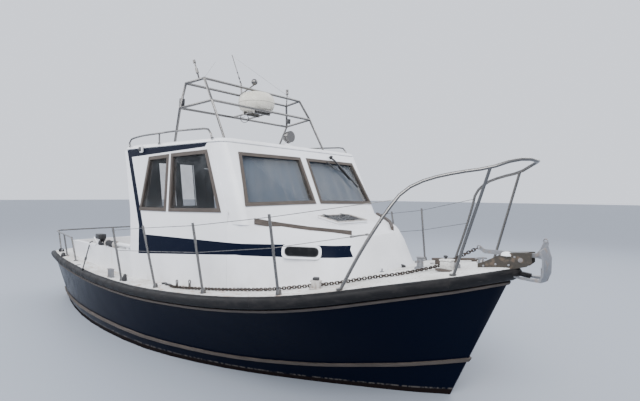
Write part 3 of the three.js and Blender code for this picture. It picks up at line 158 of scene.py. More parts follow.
class Finish:
    def __init__(self, name, slotName, fixed):
        self.slotName = slotName
        self.material = bpy.data.materials.new(name)
        self.material.use_nodes = True
        self.tree = self.material.node_tree
        self.shader = self.tree.nodes["Principled BSDF"]
        for socket, value in fixed.items():
            self.shader.inputs[socket].default_value = value
        self.place = self.add("ShaderNodeTexCoord", output="Object")
        self.x, self.y, self.z = self.axes(self.place)

    def add(self, kind, settings=None, inputs=(), output=0):
        node = self.tree.nodes.new(kind)
        for key, value in (settings or {}).items():
            setattr(node, key, value)
        for key, value in inputs.items() if isinstance(inputs, dict) else enumerate(inputs):
            if isinstance(value, Wire):
                self.tree.links.new(value.socket, node.inputs[key])
            else:
                node.inputs[key].default_value = value
        return Wire(self, node.outputs[output])

    def axes(self, place):
        # the three numbers of a place, a wire each
        split = self.tree.nodes.new("ShaderNodeSeparateXYZ")
        self.tree.links.new(place.socket, split.inputs[0])
        return [Wire(self, socket) for socket in split.outputs]

    def mapped(self, scale, source=None):
        return self.add("ShaderNodeMapping", {}, {"Vector": source or self.place, "Scale": scale})

    def noise(self, size, stretch=(1, 1, 1), detail=3, source=None):
        # a soft pattern whose spots are about size metres across
        return self.add("ShaderNodeTexNoise", {}, {
            "Vector": self.mapped(stretch, source), "Scale": 1 / size, "Detail": detail})

    def cells(self, size, feature="F1"):
        return self.add("ShaderNodeTexVoronoi", {"feature": feature}, {
            "Vector": self.mapped((1, 1, 1)), "Scale": 1 / size})

    def wave(self, wire, length):
        # 0 to 1 and back over each length
        return (wire * (2 * math.pi / length)).maths("SINE") * 0.5 + 0.5

    def step(self, value, low, high):
        # 0 at low and 1 at high, eased between them
        return self.add("ShaderNodeMapRange", {"interpolation_type": "SMOOTHSTEP"}, [value, low, high])

    def blend(self, mask, first, second):
        # each colour is a wire, or red, green and blue
        ends = [end if isinstance(end, Wire) else (*end, 1) for end in (first, second)]
        return self.add("ShaderNodeMix", {"data_type": "RGBA"}, {0: mask, 6: ends[0], 7: ends[1]}, output=2)

    def bump(self, height, distance):
        return self.add("ShaderNodeBump", {}, {"Height": height, "Distance": distance})

    def lay(self, **channels):
        names = {"colour": "Base Color", "roughness": "Roughness", "metallic": "Metallic",
                 "alpha": "Alpha", "normal": "Normal"}
        for key, wire in channels.items():
            self.tree.links.new(wire.socket, self.shader.inputs[names[key]])
        return self


hullLook = {
    "navy": (0.002, 0.0036, 0.0105),
    # worn navy mixed with a painted sheen of the sky, for the stern
    "chalkySheen": (0.042, 0.053, 0.076),
    "liner": (0.5, 0.5, 0.5),
    "antifoul": (0.01, 0.007, 0.007),
    "scum": (0.16, 0.145, 0.13),
    "chalkAndSheen": (-1.2, -3.4),  # x where it starts, and where it is full
    "paintLine": (0.062, 0.056),
    "scumLine": 0.066,
    "transom": -3.0,
}
whiteLook = {
    "clean": (0.8, 0.805, 0.83),
    "dull": (0.69, 0.69, 0.7),
    "grime": (0.34, 0.3, 0.25),
    "navy": (0.0028, 0.0052, 0.015),
    "rust": (0.33, 0.17, 0.075),
    "drip": {"x": -1.05, "top": 1.06, "y": -1.03, "long": 0.28},  # brown run on the coaming
    "deckLevel": 1.12,  # dirt gathers below this height
}
tones = {  # colours of the other finishes, the cleanest first
    "lining": ((0.04, 0.038, 0.037), (0.085, 0.08, 0.076)),
    "deck": ((0.7, 0.7, 0.69), (0.5, 0.49, 0.46), (0.25, 0.21, 0.175)),
    "rubber": ((0.009, 0.009, 0.01), (0.03, 0.028, 0.028), (0.065, 0.061, 0.058)),
    "wood": ((0.092, 0.074, 0.062), (0.048, 0.038, 0.032), (0.015, 0.012, 0.01)),
    "steel": ((0.17, 0.166, 0.162), (0.09, 0.075, 0.06)),
    "zinc": ((0.27, 0.275, 0.29), (0.2, 0.125, 0.075)),
    "brownZinc": ((0.08, 0.071, 0.06), (0.2, 0.125, 0.075)),
    "glass": ((0.02, 0.024, 0.028), (0.2, 0.21, 0.22)),
    "smoked": ((0.022, 0.023, 0.026), (0.07, 0.07, 0.07)),
    "portlight": ((0.006, 0.0065, 0.008), (0.017, 0.017, 0.019)),
    "cream": ((0.6, 0.575, 0.5), (0.46, 0.43, 0.355), (0.3, 0.27, 0.21)),
    "rust": ((0.018, 0.014, 0.012), (0.05, 0.035, 0.027), (0.11, 0.06, 0.032)),
    "bronze": ((0.36, 0.24, 0.1), (0.13, 0.17, 0.13)),
    "boards": ((0.2, 0.135, 0.085), (0.36, 0.27, 0.185), (0.3, 0.28, 0.25), (0.016, 0.016, 0.017)),
    "plastic": ((0.012, 0.012, 0.013), (0.045, 0.045, 0.047)),
    "engine": ((0.045, 0.075, 0.062), (0.015, 0.013, 0.011)),
    "curtain": ((0.085, 0.112, 0.15), (0.165, 0.205, 0.262)),
    "vinyl": ((0.026, 0.04, 0.085), (0.1, 0.105, 0.12)),
    "rope": ((0.012, 0.012, 0.014), (0.06, 0.06, 0.065)),
    "lens": ((0.2, 0.22, 0.25), (0.55, 0.57, 0.6)),
    "stained": ((0.44, 0.42, 0.4), (0.2, 0.155, 0.12)),
    "dial": ((0.01, 0.01, 0.011), (0.25, 0.26, 0.27)),
}


def hullPaint():
    # chalky towards the stern with a painted sheen of the sky there, antifouling under a line of scum, and a
    # plain liner inside
    look = hullLook
    f = Finish("hullPaint", "hull_paint", {"Specular IOR Level": 0.022})
    cloud = f.noise(0.9, (1, 1, 2))
    streak = f.noise(0.035, (1, 1, 0.06), 4)
    # partly real chalking in streaks, partly painted sheen: the sky's grey-blue reflection on the aft hull
    # painted into its colour
    chalkAndSheen = f.step(f.x, *look["chalkAndSheen"]) * f.step(streak * 0.55 + cloud * 0.5, 0.42, 0.66)
    navy = f.blend(chalkAndSheen * 0.3, look["navy"], look["chalkySheen"])
    height = f.z + f.noise(0.5) * 0.014
    below = f.step(height, *look["paintLine"])
    line = f.step(abs(height - look["scumLine"]), 0.012, 0.003) * f.step(streak, 0.4, 0.6)
    colour = f.blend(line * 0.5, f.blend(below, navy, look["antifoul"]), look["scum"])
    ahead, aside = f.axes(f.add("ShaderNodeTexCoord", output="Normal"))[:2]
    facesIn = (aside * f.y < -0.03).maths("MAXIMUM", (ahead > 0.5) * (f.x < look["transom"]))
    inner = facesIn * (f.z > 0.1)
    colour = f.blend(inner, colour, f.blend(f.step(cloud, 0.3, 0.7), look["liner"], whiteLook["dull"]))
    rough = 0.17 + chalkAndSheen * 0.32 + below * 0.45 + cloud * 0.06 + inner * 0.3
    fair = f.noise(0.35, (1, 1, 1.6), 1)
    return f.lay(colour=colour, roughness=rough, normal=f.bump(f.noise(0.004) * 0.04 + fair, 0.004))


def whiteBase(f, low):
    # gelcoat with faint clouds, runs below its edges and dirt near the deck
    cloud = f.noise(0.7, (1, 1, 1.4), 4)
    runs = f.noise(0.03, (1, 1, 0.05), 5)
    base = f.blend(f.step(cloud, 0.35, 0.75), whiteLook["clean"], whiteLook["dull"])
    foot = f.step(f.z, low, low - 0.3) * f.step(f.noise(0.09, (1, 1, 0.6), 5), 0.46, 0.74)
    dirt = f.step(runs, 0.58, 0.86) * 0.12 + foot * 0.36
    return f.blend(dirt, base, whiteLook["grime"]), cloud


def orangePeel(f):
    return f.noise(0.25, detail=2) + f.noise(0.0035) * 0.03


def lining(f):
    # dark cloth on the inside of the cabin
    worn = f.step(f.noise(0.2, detail=4), 0.4, 0.7)
    return f.blend(worn, *tones["lining"])


def dripMask(f, drip):
    # a brown run down the outer face, below the given place
    wander = f.noise(0.12, (0, 0, 1)) * 0.03
    low = drip["top"] - drip["long"]
    run = f.step(abs(f.x - drip["x"] + wander), 0.03, 0.006) * f.step(f.z, low, drip["top"] - 0.04)
    return run * (f.y < drip["y"]) * f.step(f.noise(0.02, (1, 1, 0.1), 4), 0.35, 0.6)


def gelcoat(name="gelcoat", low=whiteLook["deckLevel"], inside=None, drip=None):
    f = Finish(name, "white_paint", {"Specular IOR Level": 0.45})
    colour, cloud = whiteBase(f, low)
    rough = 0.3 + cloud * 0.22
    if drip:
        colour = f.blend(dripMask(f, drip) * 0.55, colour, whiteLook["rust"])
    if inside:
        mask = inside(f)
        colour = f.blend(mask, colour, lining(f))
        rough = rough + mask * 0.45
    return f.lay(colour=colour, roughness=rough, normal=f.bump(orangePeel(f), 0.003))


# The wheelhouse's raked planes: x at a height, and how far x falls in a metre up
rakes = {"screenX": 1.6, "screenFrom": 1.62, "screen": 0.46, "bulkheadFrom": 1.3, "bulkhead": 0.15}


def abaftScreen(f, x):
    return f.x + (f.z - rakes["screenFrom"]) * rakes["screen"] < x


def aheadOfBulkhead(f, x):
    return f.x + (f.z - rakes["bulkheadFrom"]) * rakes["bulkhead"] > x


def frontInside(f):
    return abaftScreen(f, 1.572) * (abs(f.y) < 1.035 - (f.z - 1.5) * 0.02)


def bulkInside(f):
    return aheadOfBulkhead(f, -0.424)


def roofInside(f):
    places = [v.co for v in nodes["houseRoof"].data.vertices]
    aft = min((p for p in places if p.x < -0.5), key=lambda p: p.z)
    fore = min((p for p in places if p.x > 1.1), key=lambda p: p.z)
    slope = (fore.z - aft.z) / (fore.x - aft.x)
    return (f.z - f.x * slope < aft.z - slope * aft.x + 0.006) * (abs(f.y) < 1.07) * (f.x < 1.16)


def allInside(f):
    return f.z > 0


def sideOutside(f):
    return abs(f.y) > 1.137 - (f.z - 1.13) * 0.0208


def sideInside(f):
    return (1 - sideOutside(f)) * aheadOfBulkhead(f, -0.45) * abaftScreen(f, 1.52) * (f.x < 1.393)


# The navy stripe, and the band that turns up the aft edge and along under the roof
stripe = {
    "bottom": (1.09, 0.0824, 1.215),  # height at x = 0, its rise a metre, its limit
    "top": (1.306, 0.0125),
    "foreTop": (1.405, -0.0365),
    "aftEnd": -0.283,
    "foreEnd": 2.391,
    "portShorter": 0.34,
    "foreLean": 0.379,
    "leanFrom": 1.27,
}
band = {
    "outer": (-0.285, 1.4, 0.36),  # x, the height it leans from, its lean
    "inner": (-0.19, 1.411, 0.37),
    "spread": (1.42, 2.6),  # wider below this height, by so much
    "low": 1.2,
    "under": (2.243, 0.021),  # lower edge of the level part: height at x = 0, its rise
    "foreEnd": (1.05, 2.3),
}


def stripeMask(f):
    start, rise, limit = stripe["bottom"]
    bottom = (start + f.x * rise).maths("MINIMUM", limit)
    aft, ahead = [high + f.x * climb for high, climb in (stripe["top"], stripe["foreTop"])]
    top = aft.maths("MINIMUM", ahead)
    lean = (f.z - stripe["leanFrom"]) * stripe["foreLean"]
    fore = stripe["foreEnd"] - lean - (f.y > 0) * stripe["portShorter"]
    return (f.z > bottom) * (f.z < top) * (f.x > stripe["aftEnd"]) * (f.x < fore)


def bandMask(f):
    (outX, outFrom, outLean), (inX, inFrom, inLean) = band["outer"], band["inner"]
    outer = outX - (f.z - outFrom).maths("MAXIMUM", 0) * outLean
    near = (band["spread"][0] - f.z).maths("MAXIMUM", 0)
    inner = inX - (f.z - inFrom) * inLean + near * near * band["spread"][1]
    upright = (f.x > outer) * (f.x < inner) * (f.z > band["low"])
    under = band["under"][0] + f.x * band["under"][1]
    level = (f.z > under) * (f.x > outer) * (f.x < band["foreEnd"][0] - (band["foreEnd"][1] - f.z))
    return stripeMask(f).maths("MAXIMUM", upright).maths("MAXIMUM", level) * sideOutside(f)


def stripedGelcoat(name, low, painted, inside=None):
    f = Finish(name, "white_paint", {"Specular IOR Level": 0.04})
    colour, cloud = whiteBase(f, low)
    mask = painted(f)
    worn = f.step(f.noise(0.012, detail=5), 0.68, 0.76) * 0.08
    colour = f.blend(mask * (1 - worn), colour, whiteLook["navy"])
    if inside:
        colour = f.blend(inside(f), colour, lining(f))
    normal = f.bump(orangePeel(f) + mask * 0.05, 0.003)
    return f.lay(colour=colour, roughness=0.3 + cloud * 0.2, normal=normal)


def deckPaint():
    # gritted deck paint, dirty in patches, with rust below the chain's run
    f = Finish("deckPaint", "white_paint", {})
    clean, worn, dirt = tones["deck"]
    patch = f.noise(0.35, detail=5)
    speck = f.noise(0.02, detail=6)
    base = f.blend(f.step(patch, 0.35, 0.7), clean, worn)
    base = f.blend(f.step(speck, 0.52, 0.7) * 0.62, base, dirt)
    edge = f.step(f.y, -0.75, -1.05) * f.step(f.noise(0.05, (0.5, 1, 1), 5), 0.52, 0.7)
    colour = f.blend(edge * 0.6, base, whiteLook["rust"])
    grit = f.noise(0.0022, detail=2)
    return f.lay(colour=colour, roughness=0.55 + speck * 0.35, normal=f.bump(grit + speck * 0.5, 0.0012))


def rubber():
    # lengths of belt butted every 1.35 m
    f = Finish("fenderRubber", "fender_rubber", {"Specular IOR Level": 0.12})
    black, dusty, scuffed = tones["rubber"]
    dust = f.step(f.noise(0.12, (1, 1, 2), 5), 0.42, 0.72)
    scuff = f.step(f.noise(0.02, (0.25, 0.25, 3), 4), 0.62, 0.76)
    joint = f.step(abs((f.x / 1.35).maths("FRACT") - 0.5), 0.004, 0.0015)
    colour = f.blend(scuff * 0.5, f.blend(dust * 0.6, black, dusty), scuffed)
    height = f.noise(0.003) * 0.25 + scuff * 0.3 - joint * 2
    return f.lay(colour=colour, roughness=0.48 + dust * 0.28, normal=f.bump(height, 0.0012))


def woodLook(f, along):
    # weathered wood whose grain follows the given stretch
    pale, mid, dark = tones["wood"]
    grain = f.noise(0.0035, along, 5)
    board = f.noise(0.4, detail=4)
    pores = f.step(f.noise(0.0016, along, 3), 0.6, 0.7)
    colour = f.blend(f.step(grain, 0.36, 0.64), mid, pale)
    colour = f.blend(f.step(board, 0.45, 0.72) * 0.5, colour, mid)
    return f.blend(pores * 0.8, colour, dark), grain - pores * 0.7


def wood(name, along):
    f = Finish(name, "weathered_wood", {})
    colour, height = woodLook(f, along)
    return f.lay(colour=colour, roughness=0.72 + height * 0.18, normal=f.bump(height, 0.0009))


def frameWood(name, low, high, across):
    # rails of the frame run level, stiles run up
    f = Finish(name, "weathered_wood", {})
    level, levelHeight = woodLook(f, (0.03, 0.03, 1))
    upright, uprightHeight = woodLook(f, across)
    rail = (f.z < low).maths("MAXIMUM", f.z > high)
    height = rail * levelHeight + (1 - rail) * uprightHeight
    colour = f.blend(rail, upright, level)
    return f.lay(colour=colour, roughness=0.72 + height * 0.18, normal=f.bump(height, 0.0009))


def stainless():
    f = Finish("stainless", "stainless", {"Metallic": 1.0})
    spots = f.step(f.noise(0.012, detail=5), 0.55, 0.72)
    rough = 0.2 + f.noise(0.08, detail=3) * 0.16 + spots * 0.2
    return f.lay(colour=f.blend(spots * 0.45, *tones["steel"]), roughness=rough,
                 normal=f.bump(f.noise(0.002), 0.0002))


def galvanised(name, tone, stained):
    f = Finish(name, "galvanised", {})
    tint, brown = tones[tone]
    spangle = f.cells(0.011)
    stain = f.step(f.noise(0.05, detail=6), 0.5, 0.68)
    colour = f.blend(spangle * 0.6, tint, [part * 0.72 for part in tint])
    return f.lay(colour=f.blend(stain * stained, colour, brown), roughness=0.45 + stain * 0.3 + spangle * 0.1,
                 metallic=0.75 - stain * 0.55, normal=f.bump(spangle * 0.4 + stain, 0.0008))


def windowGlass():
    f = Finish("windowGlass", "window_glass", {"Roughness": 0.05, "Specular IOR Level": 0.45, "IOR": 1.5})
    film = f.step(f.noise(0.25, detail=4), 0.4, 0.75)
    # painted shade: the glass is paler below 1.6 m and darker towards its top, the roof's shadow painted in
    low = f.step(f.z, 1.8, 1.6)
    colour = f.blend(film * 0.5 + low * 0.2, *tones["glass"])
    return f.lay(colour=colour, roughness=0.04 + film * 0.05, alpha=0.16 + film * 0.08)


def smokedPane(name, tone, gloss):
    f = Finish(name, "window_glass", {"Specular IOR Level": gloss})
    scratch = f.noise(0.004, (1, 0.05, 1), 4)
    dust = f.step(f.noise(0.06, detail=5), 0.45, 0.7)
    rough = 0.12 + scratch * 0.12 + dust * 0.15
    return f.lay(colour=f.blend(dust * 0.5, *tones[tone]), roughness=rough, normal=f.bump(scratch, 0.0002))


def cream():
    f = Finish("radomeCream", "radome_cream", {"Coat Weight": 0.1})
    fresh, aged, streaked = tones["cream"]
    cloud = f.noise(0.12, detail=5)
    runs = f.step(f.noise(0.016, (1, 1, 0.08), 4), 0.56, 0.74)
    colour = f.blend(f.step(cloud, 0.4, 0.7) * 0.5, fresh, aged)
    colour = f.blend(runs * 0.35, colour, streaked)
    return f.lay(colour=colour, roughness=0.36 + cloud * 0.2,
                 normal=f.bump(f.noise(0.003) * 0.1 + cloud, 0.0012))


def rust():
    f = Finish("rustyIron", "rusty_chain", {})
    black, brown, orange = tones["rust"]
    patch = f.noise(0.018, detail=6)
    fine = f.noise(0.0025, detail=3)
    colour = f.blend(f.step(patch, 0.42, 0.6), black, brown)
    colour = f.blend(f.step(fine, 0.6, 0.75) * 0.5, colour, orange)
    return f.lay(colour=colour, roughness=0.62 + fine * 0.3, metallic=0.35 - f.step(patch, 0.4, 0.6) * 0.3,
                 normal=f.bump(fine + patch, 0.0009))


def bronze():
    f = Finish("bronze", "bronze", {})
    patch = f.noise(0.05, detail=5)
    green = f.step(patch, 0.45, 0.65)
    return f.lay(colour=f.blend(green, *tones["bronze"]), roughness=0.32 + patch * 0.35,
                 metallic=0.95 - green * 0.5, normal=f.bump(patch, 0.001))


boards = {"wide": 0.058, "long": 1.9}


def deckBoards():
    f = Finish("deckBoards", "deck_boards", {})
    brown, pale, grey, seamBlack = tones["boards"]
    across = f.y / boards["wide"]
    caulk = f.step(abs(across.maths("FRACT") - 0.5), 0.455, 0.475)
    tone = f.add("ShaderNodeTexWhiteNoise", {"noise_dimensions": "1D"}, {"W": across.maths("FLOOR")})
    lengths = (f.x + tone * boards["long"]) / boards["long"]
    butt = f.step(abs(lengths.maths("FRACT") - 0.5), 0.0015, 0.0008)
    grain = f.noise(0.004, (0.03, 1, 1), 5)
    wear = f.noise(0.3, detail=5)
    colour = f.blend(tone * 0.5 + grain * 0.5, brown, pale)
    colour = f.blend(f.step(wear, 0.45, 0.7) * 0.5, colour, grey)
    colour = f.blend(caulk.maths("MAXIMUM", butt), colour, seamBlack)
    return f.lay(colour=colour, roughness=0.62 + wear * 0.2, normal=f.bump(grain * 0.3 - caulk, 0.0015))


def blackPlastic():
    f = Finish("blackPlastic", "black_fittings", {})
    fade = f.step(f.noise(0.07, detail=4), 0.4, 0.7)
    return f.lay(colour=f.blend(fade * 0.6, *tones["plastic"]), roughness=0.38 + fade * 0.25,
                 normal=f.bump(f.noise(0.0014, detail=2), 0.0004))


def enginePaint():
    f = Finish("enginePaint", "black_fittings", {})
    oil = f.step(f.noise(0.12, (1, 1, 0.4), 6), 0.45, 0.65)
    return f.lay(colour=f.blend(oil * 0.8, *tones["engine"]), roughness=0.42 - oil * 0.15,
                 normal=f.bump(f.noise(0.006, detail=4), 0.001))


def curtainWeave(thread=0.0028):
    # cloth on the piece's own map, in metres
    f = Finish("curtainWeave", "curtain_cloth", {"Sheen Weight": 0.25})
    own = f.add("ShaderNodeTexCoord", output="UV")
    warp, weft = [(wire * (2 * math.pi / thread)).maths("SINE") for wire in f.axes(own)[:2]]
    threads = (warp * weft) * 0.5 + 0.5
    slub = f.noise(0.02, (1, 6, 1), 4, own)
    stain = f.noise(0.22, detail=4, source=own)
    colour = f.blend(threads * 0.35 + slub * 0.35 + stain * 0.3, *tones["curtain"])
    return f.lay(colour=colour, roughness=0.86 + slub * 0.1,
                 normal=f.bump(threads + slub * 0.6, thread * 0.25))


def vinyl():
    f = Finish("seatVinyl", "curtain_cloth", {})
    crease = f.cells(0.0035, "DISTANCE_TO_EDGE")
    soil = f.step(f.noise(0.09, detail=5), 0.42, 0.72)
    return f.lay(colour=f.blend(soil * 0.6, *tones["vinyl"]), roughness=0.42 + soil * 0.25,
                 normal=f.bump(f.step(crease, 0.0, 0.12), 0.0004))


def darkRope():
    # the lay of the strands shows as slanting bands 13 mm apart
    f = Finish("darkRope", "black_fittings", {})
    strand = f.wave(f.x + f.y * 0.8 + f.z * 1.2, 0.013)
    dirt = f.noise(0.03, detail=5)
    colour = f.blend(strand * 0.6 + dirt * 0.4, *tones["rope"])
    return f.lay(colour=colour, roughness=0.85 + dirt * 0.1, normal=f.bump(strand, 0.002))


def lensGlass():
    f = Finish("lampLens", "window_glass", {"Specular IOR Level": 0.9, "Roughness": 0.08})
    ribs = (f.y * 420).maths("SINE") * 0.5 + 0.5
    return f.lay(colour=f.blend(ribs * 0.4 + f.noise(0.03) * 0.4, *tones["lens"]),
                 normal=f.bump(ribs, 0.0012))


def stainedPlastic():
    # old grey-white fittings with brown dirt in their corners
    f = Finish("stainedPlastic", "white_paint", {})
    dirt = f.step(f.noise(0.03, (1, 1, 0.4), 5), 0.42, 0.66)
    return f.lay(colour=f.blend(dirt * 0.75, *tones["stained"]), roughness=0.55 + dirt * 0.3,
                 normal=f.bump(f.noise(0.003) + dirt * 0.5, 0.0006))


def dialFace():
    f = Finish("dialFace", "black_fittings", {"Roughness": 0.25})
    rings = f.step(abs((f.noise(0.5) + f.z * 40).maths("FRACT") - 0.5), 0.05, 0.02)
    return f.lay(colour=f.blend(rings * 0.3, *tones["dial"]), normal=f.bump(f.noise(0.002), 0.0002))


finishes = {
    "hull": hullPaint(),
    "white": gelcoat(),
    "front": gelcoat("frontGelcoat", inside=frontInside),
    "roof": gelcoat("roofGelcoat", inside=roofInside),
    "bulkhead": gelcoat("bulkheadGelcoat", 0.9, bulkInside),
    "inner": gelcoat("innerLining", inside=allInside),
    "coaming": gelcoat("coamingGelcoat", 0.92, drip=whiteLook["drip"]),
    "side": stripedGelcoat("sideGelcoat", 1.0, bandMask, sideInside),
    "trunk": stripedGelcoat("trunkGelcoat", whiteLook["deckLevel"], stripeMask),
    "stained": stainedPlastic(),
    "deck": deckPaint(),
    "rubber": rubber(),
    "strake": wood("strakeWood", (0.02, 0.02, 1)),
    "rail": wood("railWood", (0.05, 0.06, 1)),
    "sideFrame": frameWood("sideFrameWood", 1.632, 2.188, (1, 0.5, 0.03)),
    "screenFrame": frameWood("screenFrameWood", 1.716, 2.176, (0.5, 1, 0.03)),
    "steel": stainless(),
    "zinc": galvanised("galvanised", "zinc", 0.4),
    "brownZinc": galvanised("brownZinc", "brownZinc", 0.32),
    "glass": windowGlass(),
    "smoked": smokedPane("smokedPane", "smoked", 0.25),
    "dark": smokedPane("portlightPane", "portlight", 0.05),
    "cream": cream(),
    "rust": rust(),
    "bronze": bronze(),
    "boards": deckBoards(),
    "black": blackPlastic(),
    "engine": enginePaint(),
    "curtain": curtainWeave(),
    "vinyl": vinyl(),
    "darkRope": darkRope(),
    "lens": lensGlass(),
    "dial": dialFace(),
}
print("materials made:", len(finishes))


# Ways of working
def editAll():
    bpy.ops.object.mode_set(mode="EDIT")
    bpy.ops.mesh.select_all(action="SELECT")


def leaveEdit():
    bpy.ops.object.mode_set(mode="OBJECT")


def clearSelection():
    if bpy.context.object and bpy.context.object.mode != "OBJECT":
        leaveEdit()
    bpy.ops.object.select_all(action="DESELECT")


def makeActive(piece):
    clearSelection()
    piece.select_set(True)
    bpy.context.view_layer.objects.active = piece


def settle(piece):
    # place, turn and size go into the mesh
    makeActive(piece)
    bpy.ops.object.transform_apply(location=True, rotation=True, scale=True)


def thicken(piece, thick):
    # a wall, half of it on each side
    wall = piece.modifiers.new("thickness", "SOLIDIFY")
    wall.thickness = thick
    wall.offset = 0
    makeActive(piece)
    bpy.ops.object.modifier_apply(modifier=wall.name)


def addCube(size, at, turn=(0, 0, 0)):
    clearSelection()
    bpy.ops.mesh.primitive_cube_add(size=1, location=at, rotation=turn, scale=size)
    bpy.ops.object.transform_apply(location=False, rotation=False, scale=True)
    return bpy.context.object


def block(size, at, turn=(0, 0, 0), soft=0.004, segments=2):
    # a box with its edges taken off
    piece = addCube(size, at, turn)
    editAll()
    bpy.ops.mesh.bevel(offset=min(soft, min(size) * 0.45), segments=segments, affect="EDGES")
    leaveEdit()
    settle(piece)
    return piece


def turnedForm(profile, at=(0, 0, 0), along=(0, 0, 1), sides=20):
    # a disc drawn up through rings of (radius, height), closed at its top
    clearSelection()
    firstRadius, firstHeight = profile[0]
    bpy.ops.mesh.primitive_circle_add(vertices=sides, radius=firstRadius, fill_type="NGON",
                                      location=(0, 0, firstHeight))
    piece = bpy.context.object
    bpy.ops.object.transform_apply(location=True, rotation=True, scale=True)
    editAll()
    for (before, low), (radius, height) in zip(profile, profile[1:]):
        bpy.ops.mesh.extrude_region_move(TRANSFORM_OT_translate={"value": (0, 0, height - low)})
        share = max(radius, 0.0002) / before
        bpy.ops.transform.resize(value=(share, share, 1), center_override=(0, 0, height))
    bpy.ops.mesh.select_all(action="SELECT")
    bpy.ops.mesh.normals_make_consistent(inside=False)
    leaveEdit()
    piece.rotation_euler = Vector(along).to_track_quat("Z", "Y").to_euler()
    piece.location = at
    settle(piece)
    return piece


def bar(start, end, radius, sides=10):
    # a round bar with its ends eased
    start, end = Vector(start), Vector(end)
    long = (end - start).length
    ease, small = min(radius * 0.3, long * 0.2), radius * 0.85
    profile = [(small, 0), (radius, ease), (radius, long - ease), (small, long)]
    return turnedForm(profile, start, end - start, sides)


def wireForm(points, radius, sides=8, closed=False, smooth=False):
    # a wire bent through points
    clearSelection()
    path = bpy.data.curves.new("wire", "CURVE")
    path.dimensions = "3D"
    line = path.splines.new("NURBS" if smooth else "POLY")
    line.points.add(len(points) - 1)
    for point, place in zip(line.points, points):
        point.co = (*place, 1)
    line.use_cyclic_u = closed
    if smooth:
        line.use_endpoint_u = not closed
        line.order_u = 3
        line.resolution_u = 6
    path.bevel_depth = radius
    path.bevel_resolution = max((sides - 4) // 2, 0)
    path.use_fill_caps = True
    piece = bpy.data.objects.new("wire", path)
    bpy.context.collection.objects.link(piece)
    makeActive(piece)
    bpy.ops.object.convert(target="MESH")
    piece = bpy.context.object
    editAll()
    bpy.ops.mesh.remove_doubles(threshold=0.00002)
    bpy.ops.mesh.normals_make_consistent(inside=False)
    leaveEdit()
    return piece


def ring(at, along, radius, thick, around=28, sides=8):
    clearSelection()
    turn = Vector(along).to_track_quat("Z", "Y").to_euler()
    bpy.ops.mesh.primitive_torus_add(location=at, rotation=turn, major_radius=radius, minor_radius=thick,
                                     major_segments=around, minor_segments=sides)
    piece = bpy.context.object
    settle(piece)
    return piece


def plate(outline, thick, inset=0):
    # a flat form through the given places
    clearSelection()
    bpy.ops.mesh.primitive_circle_add(vertices=len(outline), radius=0.1, fill_type="NGON")
    piece = bpy.context.object
    for vertex, place in zip(piece.data.vertices, outline):
        vertex.co = place
    piece.data.update()
    if inset:
        editAll()
        bpy.ops.mesh.inset(thickness=inset, depth=0)
        leaveEdit()
    thicken(piece, thick)
    return piece


def joined(parts):
    # several forms made one mesh
    clearSelection()
    for part in parts:
        part.select_set(True)
    bpy.context.view_layer.objects.active = parts[0]
    bpy.ops.object.join()
    return bpy.context.object


def copied(piece, change):
    # a copy with its own mesh, moved by a matrix
    twin = bpy.data.objects.new(piece.name, piece.data.copy())
    bpy.context.collection.objects.link(twin)
    twin.data.transform(change)
    if change.determinant() < 0:
        twin.data.flip_normals()
    return twin


def dress(piece, name, finish, body="boat", angle=35, stands=()):
    # name, material, shading and body of a finished piece
    piece.name = name
    piece.data.name = name
    piece.data.materials.clear()
    piece.data.materials.append(finishes[finish].material)
    makeActive(piece)
    bpy.ops.object.shade_smooth_by_angle(angle=math.radians(angle))
    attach(piece, body)
    if stands:
        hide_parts(*stands)


def fit(name, finish, parts, body="boat", angle=40):
    # a fitting made of one part or several
    dress(joined(parts) if len(parts) > 1 else parts[0], name, finish, body, angle)


def bothSides(piece, name, finish, angle=35):
    # the piece to starboard and its mirror to port
    twin = copied(piece, Matrix.Scale(-1, 4, (0, 1, 0)))
    dress(piece, name + "Starboard", finish, angle=angle)
    dress(twin, name + "Port", finish, angle=angle)


searchTrees = {}


def treeOf(node):
    if node not in searchTrees:
        mesh = nodes[node].data
        places = [vertex.co for vertex in mesh.vertices]
        searchTrees[node] = BVHTree.FromPolygons(places, [face.vertices for face in mesh.polygons])
    return searchTrees[node]


def surfaceAt(node, x, y, high=5.0):
    # the height at which a solid is met from above
    return treeOf(node).ray_cast(Vector((x, y, high)), Vector((0, 0, -1)))[0].z


def onDeck(x, y, up=0.0, node="deck"):
    return (x, y, surfaceAt(node, x, y) + up)


def sternPoint(y, z):
    # where the transom is met from astern
    place = treeOf("hull").ray_cast(Vector((-6, y, z)), Vector((1, 0, 0)))[0]
    return (place.x - 0.002, y, z)


def between(start, end, share):
    return tuple(a + (b - a) * share for a, b in zip(start, end))


def screenX(z, off):
    # x of the windscreens' plane at a height, moved aft by off
    return rakes["screenX"] - rakes["screen"] * (z - rakes["screenFrom"]) - off


# Solids that keep their shape: curved ones get a merged copy that shades smooth, flat ones their finish
curvedSolids = {  # finish, angle kept sharp
    "hull": ("hull", 32), "fenderBelt": ("rubber", 60), "upperStrake": ("strake", 40),
    "lowerStrake": ("strake", 40), "deck": ("deck", 25), "trunk": ("trunk", 38), "houseFront": ("front", 38),
    "houseRoof": ("roof", 50), "houseBulkhead": ("bulkhead", 20), "hatchFrame": ("white", 35),
    "portlightStarboard": ("white", 35), "portlightPort": ("white", 35), "gantry": ("steel", 60),
    "pulpit": ("steel", 60), "stanchionsStarboard": ("steel", 60), "stanchionsPort": ("steel", 60),
    "sternRail": ("steel", 60), "roofRailStarboard": ("steel", 60), "roofRailPort": ("steel", 60),
    "radome": ("cream", 50), "searchlight": ("steel", 40), "searchlightFoot": ("white", 40),
    "steeringWheel": ("black", 60), "propeller": ("bronze", 35), "bollard": ("zinc", 40),
    "bowRoller": ("white", 40), "rudder": ("hull", 35), "anchor": ("zinc", 35),
    "rollerCheeks": ("brownZinc", 35), "coaming": ("coaming", 35), "woodRailStarboard": ("rail", 35),
    "woodRailPort": ("rail", 35),
}
